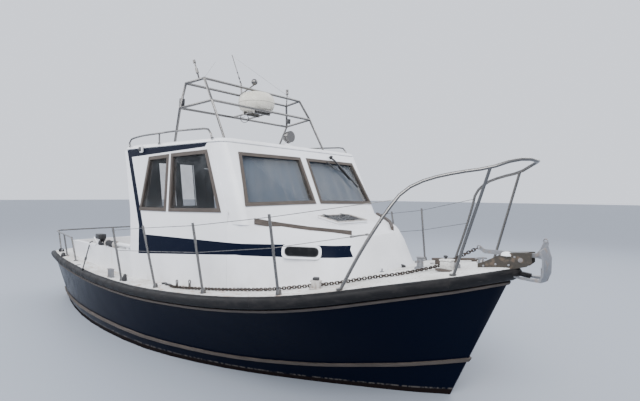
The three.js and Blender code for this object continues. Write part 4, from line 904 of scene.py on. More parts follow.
flatSolids = {
    "side": ["houseSideStarboard", "houseSidePort"],
    "bulkhead": ["door"],
    "sideFrame": ["sideFrameStarboard", "sideFramePort"],
    "screenFrame": ["screenFrameStarboard", "screenFramePort"],
    "glass": ["sidePaneAftStarboard", "sidePaneForeStarboard", "sidePaneAftPort", "sidePaneForePort",
              "screenPaneStarboard", "screenPanePort", "doorPane"],
    "white": ["hatchLid", "engineBox", "engineLid"],
    "boards": ["cockpitSole"],
    "engine": ["engineBlock"],
    "inner": ["console"],
}
movingSkins = {"rudder": "rudder", "propeller": "propeller", "steeringWheel": "steering_wheel",
               "searchlight": "searchlight", "bowRoller": "bow_roller"}
roofEdge = {"middle": 0.285, "long": 0.984, "wide": 0.986}  # drawn in, so that it ends flush with the sides
bulkLights = {"sides": [(-0.736, -0.516), (-0.427, -0.207)], "low": 1.62, "high": 2.19, "x": -0.4555,
              "deep": 0.017, "pane": 0.006, "inset": 0.012, "seal": 0.006, "sealsAt": (0.001, 0.039)}
nose = {"from": 2.12, "over": 0.26, "top": 1.38, "deep": 0.3, "out": 0.1, "ahead": 0.04, "side": 0.35}
gantryTube = {"thicker": 0.0032}
lowWires = {  # of each post the foot's x and y, the top's x and y, and the height
    "both": [(-0.305, 1.34, -0.44, 1.385, 0.61), (0.457, 1.345, 0.29, 1.4, 0.65),
             (2.245, 1.28, 2.168, 1.32, 0.65)],
    "starboard": [(1.31, 1.345, 1.193, 1.385, 0.655)],
    "port": [(1.832, 1.345, 1.698, 1.375, 0.655)],
    "higher": 0.078,
    "reach": 0.035,
    "between": (1.03, 1.34),
}


def drawInRoof(skin):
    for vertex in skin.data.vertices:
        vertex.co.x = roofEdge["middle"] + (vertex.co.x - roofEdge["middle"]) * roofEdge["long"]
        vertex.co.y *= roofEdge["wide"]


def bulkLightOutline(side, deep):
    b = bulkLights
    (y0, y1), low, high = side, b["low"], b["high"]
    return [(b["x"] - rakes["bulkhead"] * (z - rakes["bulkheadFrom"]) + deep, y, z)
            for y, z in ((y0, low), (y1, low), (y1, high), (y0, high))]


def cutBulkLights(skin):
    # two lights beside the door, seen through the side windows
    low, high = bulkLights["low"], bulkLights["high"]
    for y0, y1 in bulkLights["sides"]:
        cutter = addCube((0.4, y1 - y0, high - low), (-0.53, (y0 + y1) / 2, (low + high) / 2))
        hole = skin.modifiers.new("light", "BOOLEAN")
        hole.operation = "DIFFERENCE"
        hole.object = cutter
        makeActive(skin)
        bpy.ops.object.modifier_apply(modifier=hole.name)
        bpy.data.objects.remove(cutter)


def squareNose(skin):
    # the trunk's lower fore corners stand further out than its top
    for vertex in skin.data.vertices:
        place = vertex.co
        along = min(1, max(0, (place.x - nose["from"]) / nose["over"]))
        down = min(1, max(0, (nose["top"] - place.z) / nose["deep"]))
        weight = along * along * (3 - 2 * along) * down
        place.x += nose["ahead"] * weight
        place.y += math.copysign(nose["out"] * weight * min(1, abs(place.y) / nose["side"]), place.y)


def thickenTubes(skin):
    top = max(vertex.co.z for vertex in skin.data.vertices)
    places = [vertex.co + vertex.normal * gantryTube["thicker"] for vertex in skin.data.vertices]
    for vertex, place in zip(skin.data.vertices, places):
        vertex.co = (place.x, place.y, min(place.z, top))


def liftWires(skin):
    # the lower wire meets its posts higher in the photograph than on the solid
    low, high = lowWires["between"]
    side = math.copysign(1, skin.data.vertices[0].co.y)
    for x, y, topX, topY, tall in lowWires["both"] + lowWires["port" if side > 0 else "starboard"]:
        middle = Vector(((x + topX) / 2, side * (y + topY) / 2))
        rise = Vector((topX - x, side * (topY - y), tall)) * lowWires["higher"]
        for vertex in skin.data.vertices:
            if low < vertex.co.z < high and (vertex.co.xy - middle).length < lowWires["reach"]:
                vertex.co += rise


changedSkins = {"houseRoof": drawInRoof, "houseBulkhead": cutBulkLights, "trunk": squareNose,
                "gantry": thickenTubes, "stanchionsStarboard": liftWires, "stanchionsPort": liftWires}


def skinSolids():
    for name, (finish, angle) in curvedSolids.items():
        skin = bpy.data.objects.new(name + "Skin", nodes[name].data.copy())
        bpy.context.collection.objects.link(skin)
        makeActive(skin)
        editAll()
        bpy.ops.mesh.customdata_custom_splitnormals_clear()
        bpy.ops.mesh.remove_doubles(threshold=0.00002)
        leaveEdit()
        if name in changedSkins:
            changedSkins[name](skin)
        dress(skin, name + "Skin", finish, movingSkins.get(name, "boat"), angle, [name])
    for finish, names in flatSolids.items():
        for name in names:
            for slot in nodes[name].material_slots:
                slot.material = finishes[finish].material


def glazeBulkLights():
    b = bulkLights
    middle = b["deep"] + b["pane"] / 2
    panes = [plate(bulkLightOutline(side, middle), b["pane"], b["inset"]) for side in b["sides"]]
    fit("bulkheadPanes", "glass", panes, angle=35)
    seals = [wireForm(bulkLightOutline(side, deep), b["seal"], 6, closed=True)
             for side in b["sides"] for deep in b["sealsAt"]]
    fit("bulkheadSeals", "rubber", seals, angle=60)


skinSolids()
glazeBulkLights()
print("solids finished:", len(curvedSolids) + sum(len(names) for names in flatSolids.values()))

# Curtains hung behind the windscreens, in soft folds
curtain = {
    "high": 2.248, "low": 1.652, "offScreen": 0.062, "inner": 0.062, "outerLow": 0.995, "outerHigh": 0.912,
    "folds": 5, "depth": 0.0125, "thick": 0.0012, "columns": 150, "rows": 36, "rod": 0.005, "rodOver": 0.02,
}


def curtainPoint(side, s, t):
    # s runs across the cloth and t down it
    c = curtain
    z = c["high"] + (c["low"] - c["high"]) * t
    outer = c["outerHigh"] + (c["outerLow"] - c["outerHigh"]) * t
    wander = 0.22 * math.sin(5.1 * s + 1.4 * side) + 0.05 * math.sin(4 * t + 9 * s)
    phase = 2 * math.pi * (c["folds"] * s + wander)
    swell = c["depth"] * (0.45 + 0.55 * t) * (0.75 + 0.25 * math.sin(11 * s + side))
    across = c["inner"] + (outer - c["inner"]) * s + 0.3 * swell * math.cos(phase + 0.6)
    return (screenX(z, c["offScreen"]) + swell * math.sin(phase), side * across, z)


def hangCurtain(side, name, stands):
    c = curtain
    columns, rows = c["columns"], c["rows"]
    wide = columns + 1
    points = [curtainPoint(side, col / columns, row / rows) for row in range(rows + 1) for col in range(wide)]
    corners = [row * wide + col for row in range(rows) for col in range(columns)]
    quads = [(a, a + wide, a + wide + 1, a + 1) for a in corners]
    mesh = bpy.data.meshes.new(name)
    mesh.from_pydata(points, [], quads if side > 0 else [quad[::-1] for quad in quads])
    cloth = bpy.data.objects.new(name, mesh)
    bpy.context.collection.objects.link(cloth)
    middle = rows // 2 * wide
    flatWide = sum(math.dist(points[middle + i], points[middle + i + 1]) for i in range(columns))
    flatLong = sum(math.dist(points[r * wide], points[(r + 1) * wide]) for r in range(rows))
    mapping = mesh.uv_layers.new(name="cloth")
    for loop in mesh.loops:
        row, col = divmod(loop.vertex_index, wide)
        mapping.data[loop.index].uv = (flatWide * col / columns, flatLong * row / rows)
    thicken(cloth, c["thick"])
    dress(cloth, name, "curtain", "boat", 60, [stands])
    print(name, "flat size", round(flatWide, 3), round(flatLong, 3))
    top = c["high"] - 0.004
    ends = [(screenX(top, c["offScreen"]), side * y, top)
            for y in (c["inner"] - c["rodOver"], c["outerHigh"] + c["rodOver"])]
    dress(bar(*ends, c["rod"]), name + "Rod", "steel")


hangCurtain(-1, "curtainClothStarboard", "curtainStarboard")
hangCurtain(1, "curtainClothPort", "curtainPort")

# Helm seat: two stuffed cushions on a steel post
seat = {"at": (0.43, -0.74), "post": 0.038, "panLow": 0.884, "panHigh": 0.968, "half": 0.204,
        "backX": (0.237, 0.293), "backLow": 0.944, "backHigh": 1.316, "backHalf": 0.196,
        "seam": 0.42, "channel": 0.0035, "channelWide": 0.007, "puff": 0.2}


def cushion(size, at, crown):
    # a soft block: subdivided, its faces swelled and a stitched channel pressed in
    piece = addCube(size, at)
    editAll()
    bpy.ops.mesh.bevel(offset=min(size) * seat["seam"], segments=4, affect="EDGES")
    bpy.ops.mesh.subdivide(number_cuts=3)
    leaveEdit()
    thin = min(range(3), key=lambda i: size[i])
    others = [i for i in range(3) if i != thin]
    for vertex in piece.data.vertices:
        place = vertex.co
        u, v = [place[i] / (size[i] / 2) for i in others]
        puff = max(0.0, (1 - u * u) * (1 - v * v))
        channel = seat["channel"] * math.exp(-((place[others[0]] / seat["channelWide"]) ** 2))
        scale = 1 - seat["puff"] + seat["puff"] * puff ** 0.5
        place[thin] = place[thin] * scale - math.copysign(channel, place[thin]) * (abs(place[thin]) > crown)
    settle(piece)
    return piece


def makeSeat():
    s = seat
    x, y = s["at"]
    pan = cushion((s["half"] * 2, s["half"] * 2, s["panHigh"] - s["panLow"]),
                  (x, y, (s["panHigh"] + s["panLow"]) / 2), 0.02)
    dress(pan, "seatCushion", "vinyl", "boat", 60, ["helmSeat"])
    aft, fore = s["backX"]
    back = cushion((fore - aft, s["backHalf"] * 2, s["backHigh"] - s["backLow"]),
                   ((aft + fore) / 2, y, (s["backLow"] + s["backHigh"]) / 2), 0.015)
    dress(back, "seatBackCushion", "vinyl", "boat", 60)
    foot = surfaceAt("cockpitSole", x, y, 0.8)
    profile = [(0.13, foot + 0.001), (0.13, foot + 0.012), (0.05, foot + 0.02), (s["post"], foot + 0.05),
               (s["post"], 0.86), (0.11, 0.868), (0.11, 0.882)]
    post = turnedForm(profile, (x, y, 0), sides=24)
    arm = block((0.012, 0.09, 0.1), (aft + 0.004, y, 0.92), soft=0.003)
    fit("seatPost", "steel", [post, arm], angle=35)


makeSeat()
print("curtains and seat made")

# Searchlight: rim and ribbed lens on its lamp body
lamp = {"radius": 0.0615, "rim": 0.0065, "lens": 0.058, "down": 0.068, "yoke": 0.0735, "yokeWire": 0.0045}


def makeSearchlight():
    low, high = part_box("searchlight")
    x, z = high[0], high[2] - lamp["down"]
    rim = ring((x - 0.006, 0, z), (1, 0, 0), lamp["radius"], lamp["rim"], 40, 10)
    fit("lampRim", "steel", [rim], "searchlight", 60)
    r = lamp["lens"]
    dish = [(r, -0.01), (r, -0.004), (r * 0.8, -0.001), (r * 0.4, 0.0), (0.0002, 0.0005)]
    fit("lampLens", "lens", [turnedForm(dish, (x - 0.001, 0, z), (1, 0, 0), 40)], "searchlight", 60)
    bend = [math.radians(degrees) for degrees in range(-90, 91, 15)]
    yoke = [(x - 0.05, math.sin(a) * lamp["yoke"], z - math.cos(a) * lamp["yoke"]) for a in bend]
    fit("lampYoke", "steel", [wireForm(yoke, lamp["yokeWire"], smooth=True)], "searchlight", 60)
    head = [(0.008, 0), (0.008, 0.004), (0.005, 0.006)]
    screws = [turnedForm(head, (x - 0.05, s * 0.072, z), (0, s, 0), 10) for s in (-1, 1)]
    fit("lampScrews", "black", screws, "searchlight", 35)


makeSearchlight()

# Wiper parked across the port windscreen, by y and z
wiper = {"pivot": (0.52, 2.255), "elbow": (0.55, 2.215), "tip": (0.852, 1.888),
         "bladeTop": (0.62, 2.143), "bladeFoot": (0.764, 1.984),
         "linkTop": (0.405, 2.19), "linkFoot": (0.505, 2.112),
         "arm": 0.0105, "blade": 0.012, "link": 0.009}


def onScreen(name, off):
    # a named place of the wiper, in front of the glass
    y, z = wiper[name]
    return Vector((screenX(z, off - 0.02), y, z))


def makeWiper():
    pivot = onScreen("pivot", 0.004)
    stub = [(0.02, -0.008), (0.02, 0.01), (0.014, 0.024), (0.01, 0.03)]
    spindle = turnedForm(stub, pivot, (0.9, 0, 0.42), 16)
    arm = wireForm([pivot, onScreen("elbow", -0.018), onScreen("tip", -0.012)], wiper["arm"])
    top, foot = onScreen("bladeTop", 0.006), onScreen("bladeFoot", 0.006)
    arch = ((0.08, 0.2), (0.3, 1), (0.5, 1.4), (0.7, 1), (0.92, 0.2))
    bridge = wireForm([top + (foot - top) * s + Vector((0.012, 0, 0.005)) * h for s, h in arch], 0.003, 6)
    linkTop, linkFoot = onScreen("linkTop", 0.002), onScreen("linkFoot", 0.002)
    link = wireForm([linkTop, linkFoot, top + (foot - top) * 0.5], 0.0045)
    parts = [spindle, arm, bridge, link, bar(linkTop, linkFoot, wiper["link"], 8)]
    fit("wiperArm", "black", parts, angle=50)
    fit("wiperBlade", "rubber", [bar(top, foot, wiper["blade"], 8)], angle=50)


makeWiper()

# Portlight glass and its rim, on both sides
portlight = {"centre": (2.085, -0.835, 1.265), "along": (0.785, 0.62, -0.03), "normal": (0.6, -0.76, 0.24),
             "long": 0.303, "high": 0.082, "radius": 0.036, "rim": 0.005, "proud": 0.016, "steps": 5}


def roundedOutline(long, high, radius):
    outline = []
    for cx, cy, start in ((1, 1, 0), (-1, 1, 90), (-1, -1, 180), (1, -1, 270)):
        for i in range(portlight["steps"] + 1):
            a = math.radians(start + 90 * i / portlight["steps"])
            outline.append((cx * (long / 2 - radius) + radius * math.cos(a),
                            cy * (high / 2 - radius) + radius * math.sin(a)))
    return outline


def makePortlights():
    p = portlight
    along = Vector(p["along"]).normalized()
    up = Vector(p["normal"]).normalized().cross(along).normalized()
    out = along.cross(up)
    if out.dot(Vector(p["normal"])) < 0:
        out = -out
    face = Vector(p["centre"]) + out * p["proud"]
    outline = [face + along * u + up * v for u, v in roundedOutline(p["long"], p["high"], p["radius"])]
    bothSides(wireForm(outline, p["rim"], closed=True), "portlightRim", "black", 60)
    bothSides(plate([place - out * 0.002 for place in outline], 0.006, 0.004), "portlightGlass", "dark")


makePortlights()
print("lamp, wiper and portlights made")

# Chain links over the chain's bar
chain = {
    "pitch": 0.0235, "wire": 0.0051, "long": 0.0168, "wide": 0.0112, "rise": 0.016, "roll": 0.25,
    "deck": [(0.61, -1.272), (0.735, -1.288), (0.857, -1.281), (1.016, -1.268), (1.169, -1.245),
             (1.36, -1.224), (1.597, -1.19), (1.974, -1.14), (2.217, -1.057), (2.432, -0.944),
             (2.544, -0.876), (2.725, -0.672), (2.932, -0.487)],
    "bow": [(3.115, -0.15, 1.178), (3.218, -0.06, 1.242), (3.38, 0.000, 1.338)],
}


def smoothPath(points, step):
    # evenly spaced places on a smooth line through points
    dense = []
    for i in range(len(points) - 1):
        a, b, c, d = [Vector(points[min(max(k, 0), len(points) - 1)]) for k in (i - 1, i, i + 1, i + 2)]
        for j in range(40):
            t = j / 40
            dense.append(b + 0.5 * t * (c - a + t * (2 * a - 5 * b + 4 * c - d + t * (3 * (b - c) + d - a))))
    dense.append(Vector(points[-1]))
    placed, walked, target = [dense[0]], 0.0, step
    for a, b in zip(dense, dense[1:]):
        long = (b - a).length
        while walked + long >= target:
            placed.append(a + (b - a) * ((target - walked) / long))
            target += step
        walked += long
    return placed


def makeChain():
    c = chain
    clearSelection()
    bpy.ops.mesh.primitive_torus_add(major_radius=c["wide"], minor_radius=c["wire"],
                                     major_segments=10, minor_segments=5)
    link = bpy.context.object
    for vertex in link.data.vertices:
        vertex.co.x += math.copysign(c["long"] - c["wide"], vertex.co.x)
    places = smoothPath([onDeck(x, y, c["rise"]) for x, y in c["deck"]] + c["bow"], c["pitch"])
    links = []
    for i, (a, b) in enumerate(zip(places, places[1:])):
        roll = (math.pi / 2 if i % 2 else 0) + random.uniform(-c["roll"], c["roll"])
        ahead = (b - a).normalized().to_track_quat("X", "Z").to_matrix().to_4x4()
        turn = ahead @ Matrix.Rotation(roll, 4, "X")
        links.append(copied(link, Matrix.Translation((a + b) / 2) @ turn))
    bpy.data.objects.remove(link)
    dress(joined(links), "chainLinks", "rust", "boat", 60, ["anchorChain"])


makeChain()
print("chain made")

# Turned shapes of the small fittings, as rings of radius and height
profiles = {
    "railKnob": [(0.03, -0.002), (0.034, 0.02), (0.03, 0.048), (0.012, 0.066)],
    "eyeFoot": [(0.022, -0.002), (0.022, 0.005), (0.01, 0.008)],
    "boxKnob": [(0.012, 0), (0.012, 0.012), (0.019, 0.016), (0.019, 0.026), (0.01, 0.031)],
    "cowl": [(0.04, -0.002), (0.04, 0.006), (0.033, 0.01), (0.034, 0.026), (0.028, 0.038),
             (0.014, 0.045), (0.002, 0.046)],
    "pinFoot": [(0.024, -0.002), (0.024, 0.004), (0.018, 0.006)],
    "clampTop": [(0.02, 0), (0.022, 0.02), (0.014, 0.036), (0.004, 0.04)],
    "fuelCap": [(0.03, -0.002), (0.03, 0.004), (0.024, 0.006), (0.01, 0.006)],
    "washer": [(0.018, 0), (0.018, 0.006)],
    "cheekDome": [(0.046, 0), (0.044, 0.012), (0.034, 0.024), (0.018, 0.031), (0.002, 0.033)],
    "handleFoot": [(0.024, 0), (0.024, 0.006), (0.009, 0.01), (0.009, 0.04)],
    "dial": [(0.035, -0.004), (0.035, 0.001), (0.0002, 0.002)],
    "compass": [(0.052, -0.002), (0.052, 0.016), (0.045, 0.04), (0.028, 0.06), (0.002, 0.067)],
    "throttleKnob": [(0.006, 0), (0.016, 0.008), (0.019, 0.02), (0.014, 0.032), (0.003, 0.037)],
}
cleats = {  # finish, then x, y, heading, length and height of each
    "foreCleat": ("zinc", [(3.27, 0.385, 0.9, 0.12, 0.045)]),
    "foreSmallCleat": ("black", [(2.58, 0.14, -0.6, 0.08, 0.022)]),
    "sternCleats": ("zinc", [(-3.5, 0.86, 0.1, 0.17, 0.045), (-3.5, -0.86, -0.1, 0.17, 0.045)]),
    "sideCleats": ("zinc", [(-0.95, 1.3, 0.05, 0.15, 0.045), (1.05, 1.3, 0, 0.15, 0.045)]),
}


def cleat(x, y, heading, long, high):
    # a bar with drooping ends on two short posts and a foot plate
    along = Vector((math.cos(heading), math.sin(heading), 0))
    base, up = Vector(onDeck(x, y)), Vector((0, 0, high))
    droop = ((-0.5, 0.85), (-0.3, 1), (0.3, 1), (0.5, 0.85))
    horn = [base + up * share + along * long * s for s, share in droop]
    posts = [bar(base + along * long * s, base + along * long * s + up, 0.01) for s in (-0.16, 0.16)]
    foot = block((long * 0.6, 0.035, 0.008), base + Vector((0, 0, 0.003)), (0, 0, heading), 0.002)
    return [wireForm(horn, 0.009, 10, smooth=True), *posts, foot]


def turns(start, end, radius, wire, count):
    # rope wound tightly round a line from start to end
    start, end = Vector(start), Vector(end)
    along = (end - start).normalized()
    across = along.orthogonal().normalized()
    third = along.cross(across)
    steps = count * 12
    points = [start + (end - start) * (i / steps) + across * radius * math.cos(i * math.pi / 6)
              + third * radius * math.sin(i * math.pi / 6) for i in range(steps + 1)]
    return wireForm(points, wire, 6)


def turned(name, at, along=(0, 0, 1), sides=20):
    return turnedForm(profiles[name], at, along, sides)


def tier(size, spot, up, heading, soft):
    # a block standing on the deck
    return block(size, onDeck(*spot, up), (0, 0, heading), soft)


def boltHeads(places, facing, radius=0.009, high=0.006):
    head = [(radius, -0.001), (radius, high * 0.7), (radius * 0.7, high)]
    return [turnedForm(head, place, facing, 8) for place in places]


deckSpots = {  # x and y on the deck
    "railKnob": (-2.93, -1.035), "foreEye": (2.543, -0.2), "vent": (2.435, -1.038), "box": (3.199, -0.213),
    "boxPad": (3.205, -0.296), "cowl": (3.232, -0.092), "fairlead": (-0.62, -1.325),
    "clamp": (-0.245, -1.338),
    "pins": [(0.715, -1.25), (0.875, -1.205)],
    "fuelCaps": [(-1.9, -1.2), (-1.9, 1.2), (2.75, 0.45)],
    "hook": [(0.372, -1.225), (0.392, -1.198), (0.43, -1.195), (0.452, -1.226), (0.49, -1.24),
             (0.52, -1.218), (0.572, -1.232)],
    "hookRing": (0.59, -1.238),
}
deckBox = {"size": 0.096, "high": 0.1, "up": 0.031, "lidUp": 0.08, "lid": (0.104, 0.104, 0.014),
           "knob": (3.18, -0.2)}
woodBar = {"ends": [(2.831, 0.261, 1.16), (3.184, 0.595, 1.16)], "heading": math.atan2(0.334, 0.353),
           "size": (0.486, 0.036, 0.022), "feetAt": (0.12, 0.5, 0.88)}


def deckFittings():
    d = deckSpots
    for name, (finish, spots) in cleats.items():
        fit(name, finish, [part for spot in spots for part in cleat(*spot)])
    fit("railFootKnob", "black", [turned("railKnob", onDeck(*d["railKnob"]), sides=16)])
    fit("foreEye", "zinc", [turned("eyeFoot", onDeck(*d["foreEye"]), sides=16),
                            ring(onDeck(*d["foreEye"], 0.018), (1, 0.3, 0), 0.014, 0.004)])
    fit("ventPost", "stained", [tier((0.1, 0.09, 0.012), d["vent"], 0.004, 0.5, 0.003),
                                tier((0.072, 0.066, 0.07), d["vent"], 0.036, 0.5, 0.008),
                                tier((0.098, 0.05, 0.012), d["vent"], 0.062, 0.5, 0.004)])
    fit("ventPostTop", "black", [tier((0.052, 0.048, 0.024), d["vent"], 0.082, 0.5, 0.006)])
    fit("boxPad", "rail", [block((0.13, 0.05, 0.018), onDeck(*d["boxPad"], 0.009), (0, 0.05, 0), 0.003)])
    fit("cowlVent", "zinc", [turned("cowl", onDeck(*d["cowl"]))])
    fit("deckHook", "black", [wireForm([onDeck(*spot, 0.011) for spot in d["hook"]], 0.011, smooth=True),
                              ring(onDeck(*d["hookRing"], 0.012), (0, 0.3, 1), 0.017, 0.006)])
    fit("deckPins", "steel", [bar(onDeck(*spot, -0.003), onDeck(*spot, 0.05), 0.013) for spot in d["pins"]]
        + [ring(onDeck(*spot, 0.06), (0, 1, 0), 0.016, 0.006) for spot in d["pins"]]
        + [turned("pinFoot", onDeck(*spot)) for spot in d["pins"]])
    x, y = d["fairlead"]
    fit("sideFairlead", "zinc", [tier((0.1, 0.046, 0.014), (x, y), 0.005, 0.03, 0.003)]
        + [block((0.016, 0.04, 0.09), onDeck(x + s, y, 0.052), (0, 0, 0.03), 0.004)
           for s in (-0.036, -0.012, 0.012, 0.036)]
        + [tier((0.1, 0.046, 0.012), (x, y), 0.1, 0.03, 0.003)])
    x, y = d["clamp"]
    fit("footClamp", "black", [tier((0.055, 0.04, 0.05), (x, y), 0.024, 0.3, 0.012),
                               turned("clampTop", onDeck(x + 0.005, y + 0.003, 0.045))])
    fit("fuelCaps", "steel", [turned("fuelCap", onDeck(*spot), sides=24) for spot in d["fuelCaps"]])


def makeDeckBox():
    b = deckBox
    x, y, lid = onDeck(*deckSpots["box"], b["lidUp"])
    body = block((b["size"], b["size"], b["high"]), onDeck(x, y, b["up"]), soft=0.014, segments=4)
    dress(body, "deckBoxBody", "deck", stands=["deckBox"])
    fit("deckBoxLid", "deck", [block(b["lid"], (x, y, lid + 0.006), soft=0.005)])
    fit("deckBoxKnob", "black", [turned("boxKnob", (*b["knob"], lid + 0.012), sides=16)])


def makeWoodBar():
    start, end = woodBar["ends"]
    heading = (0, 0, woodBar["heading"])
    fit("foredeckBar", "rail", [block(woodBar["size"], between(start, end, 0.5), heading, 0.004)])
    feet = []
    for x, y, z in [between(start, end, share) for share in woodBar["feetAt"]]:
        deck = surfaceAt("deck", x, y)
        feet.append(block((0.05, 0.03, z - deck), (x, y, (z + deck) / 2), heading, 0.003))
    fit("foredeckBarFeet", "rail", feet)


deckFittings()
makeDeckBox()
makeWoodBar()

bow = {
    "bolts": [(3.45, 1.198), (3.55, 1.222), (3.655, 1.225), (3.7, 1.296)],  # x and z
    "pin": (3.745, 1.275),
    "dome": (3.632, -0.033, 1.3),
    "shackles": {"shankShackle": ((3.392, 0, 1.346), (0, 1, 0), 0.016, 0.0055, (3.405, 0.02, 1.347)),
                 "clawShackle": ((3.915, 0, 1.437), (0.3, 1, 0), 0.017, 0.005, (3.917, 0.018, 1.424))},
    "web": [(3.884, 0, 1.222), (3.884, 0, 1.152), (3.934, 0, 1.124), (3.948, 0, 1.165)],
    "stemPad": (3.748, 0, 1.158),
    "wireAft": (2.2005, -1.303),
    "wireFore": (2.913, -0.945, 1.49),
    "screw": ((0.82, 0.95, 0.0065), (0.79, 0.83, 0.0085), (0.94, 0.97, 0.0085)),  # shares of the wire, radius
}


def bowFittings():
    half = max(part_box("rollerCheeks")[1][1], 0.05)
    x, z = bow["pin"]
    heads = [boltHeads([(boltX, s * half, boltZ) for boltX, boltZ in bow["bolts"]], (0, s, 0))
             for s in (1, -1)]
    fit("cheekBolts", "zinc", heads[0] + heads[1])
    fit("rollerPin", "zinc", [bar((x, -half - 0.012, z), (x, half + 0.012, z), 0.008, 12)]
        + [turned("washer", (x, s * (half - 0.001), z), (0, s, 0), 16) for s in (1, -1)])
    fit("cheekDome", "white", [turned("cheekDome", bow["dome"], sides=24)])
    for name, (at, along, radius, wire, (pinX, pinHalf, pinZ)) in bow["shackles"].items():
        fit(name, "zinc", [ring(at, along, radius, wire, 20),
                           bar((pinX, -pinHalf, pinZ), (pinX, pinHalf, pinZ), 0.006)])
    fit("clawWeb", "zinc", [plate(bow["web"], 0.01)])
    fit("stemPad", "rubber", [block((0.13, 0.05, 0.036), bow["stemPad"], (0, 0.1, 0), 0.006)])
    start, end = (*bow["wireAft"], onDeck(2.245, -1.27, 0.376)[2]), bow["wireFore"]
    fit("bottlescrew", "steel", [bar(between(start, end, low), between(start, end, high), radius)
                                 for low, high, radius in bow["screw"]])


bowFittings()

hatch = {"corners": [(1.8, -0.248), (2.046, -0.248), (2.046, 0.248), (1.8, 0.248)], "middle": 1.93,
         "handle": [(-0.06, -0.002), (-0.055, 0.016), (0.055, 0.016), (0.06, -0.002)],
         "hinges": (-0.15, 0.15)}


def hatchFittings():
    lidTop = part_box("hatchLid")[1][2]
    lidFore = surfaceAt("hatchLid", 2.02, 0)
    fit("hatchHinges", "black", [block((0.06, 0.038, 0.014), (1.8, y, lidTop), (0, 0.18, 0), 0.004)
                                 for y in hatch["hinges"]], "hatch_lid")
    pane = [onDeck(x, y, 0.0008, "hatchLid") for x, y in hatch["corners"]]
    fit("hatchPane", "smoked", [plate(pane, 0.003)], "hatch_lid")
    rim = [(x + (x - hatch["middle"]) * 0.06, y * 1.04, surfaceAt("hatchLid", x, y) + 0.001)
           for x, y in hatch["corners"]]
    # painted shade: the rim is white, and its grey-white stained finish stands in for the shade on its sides
    fit("hatchRim", "stained", [wireForm(rim, 0.009, closed=True)], "hatch_lid")
    handle = wireForm([(2.02, y, lidFore + up) for y, up in hatch["handle"]], 0.005)
    fit("hatchHandle", "black", [handle], "hatch_lid")


hatchFittings()

house = {
    "sideLamp": (-0.237, -1.142, 2.318),
    "doorHandles": {"doorHandleOuter": (-0.4475, -1, -0.488), "doorHandleInner": (-0.414, 1, -0.374)},
    "handle": (0.024, 0.135, 1.25),  # y of both ends, z
    "boxes": [((0.05, 0.05, 0.095), (0.179, -0.86, 2.861)),
              ((0.045, 0.045, 0.07), (0.242, 0.87, 2.861))],
    "cableRing": (0.345, -0.05, 2.768),
    "cable": [(0.345, -0.045, 2.795), (0.3, -0.02, 2.79), (0.2, -0.06, 2.782), (0.19, -0.5, 2.78),
              (0.181, -0.84, 2.8)],
    "stay": ((0.47, 0.795, 3.1), (0.025, 0.002, 3.65)),
    "whip": ((0.505, -0.792, 3.095), (0.629, -0.719, 3.286), (0.515, -0.786, 3.11)),
    "mast": ((0.226, 0, 3.075), (0.212, 0, 3.25)),
    "aerial": ((0.212, 0, 3.24), (0.02, 0, 3.663)),
    "mastCollars": ((0.05, 0.22, 0.014), (0.62, 0.14, 0.014)),  # where each starts, its share, its radius
    "aerialCollars": ((0.0, 0.1, 0.01), (0.16, 0.09, 0.009), (0.36, 0.05, 0.0075)),
    "seamUp": 0.1,
    "blinds": ((-0.75, -0.5), (-0.44, -0.19)),
}


def collars(line, places):
    return [bar(between(*line, share), between(*line, share + long), radius)
            for share, long, radius in places]


def houseFittings():
    h = house
    x, y, z = h["sideLamp"]
    fit("sideLamp", "white", [block((0.052, 0.03, 0.09), (x, y, z), (0.02, 0, 0), 0.008)])
    fit("sideLampHood", "black", [block((0.04, 0.014, 0.052), (x, y - 0.02, z - 0.006))])
    near, far, up = h["handle"]
    for name, (foot, facing, barX) in h["doorHandles"].items():
        fit(name, "steel", [turned("handleFoot", (foot, 0.03, up), (facing, 0, 0.15 * facing), 16),
                            bar((barX, near, up), (barX, far, up), 0.008)], "door")
    fit("gantryBoxes", "black", [block(size, at, (0, 0.1, 0), 0.006) for size, at in h["boxes"]])
    fit("shelfCable", "black", [ring(h["cableRing"], (0.8, -0.6, 0), 0.052, 0.0042, 32),
                                wireForm(h["cable"], 0.0035, 6, smooth=True)])
    fit("portStay", "steel", [bar(*h["stay"], 0.0014, 6)])
    foot, tip, ferrule = h["whip"]
    fit("foreWhip", "steel", [bar(foot, tip, 0.0014, 6), bar(foot, ferrule, 0.006, 8)])
    fit("aerialCollars", "black", collars(h["mast"], h["mastCollars"])
        + collars(h["aerial"], h["aerialCollars"]))
    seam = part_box("radome")[0][2] + h["seamUp"]
    fit("radomeSeam", "black", [ring((0.52, 0, seam), (0, 0, 1), 0.2292, 0.0016, 64, 6)])
    fit("rollerBlind", "inner", [bar((-0.44, y0, 2.215), (-0.44, y1, 2.215), 0.014)
                                 for y0, y1 in h["blinds"]])


houseFittings()

helm = {"y": -0.74, "ahead": 0.03, "dials": (-0.11, 0, 0.11), "dialUp": 0.052, "throttleY": 0.25}


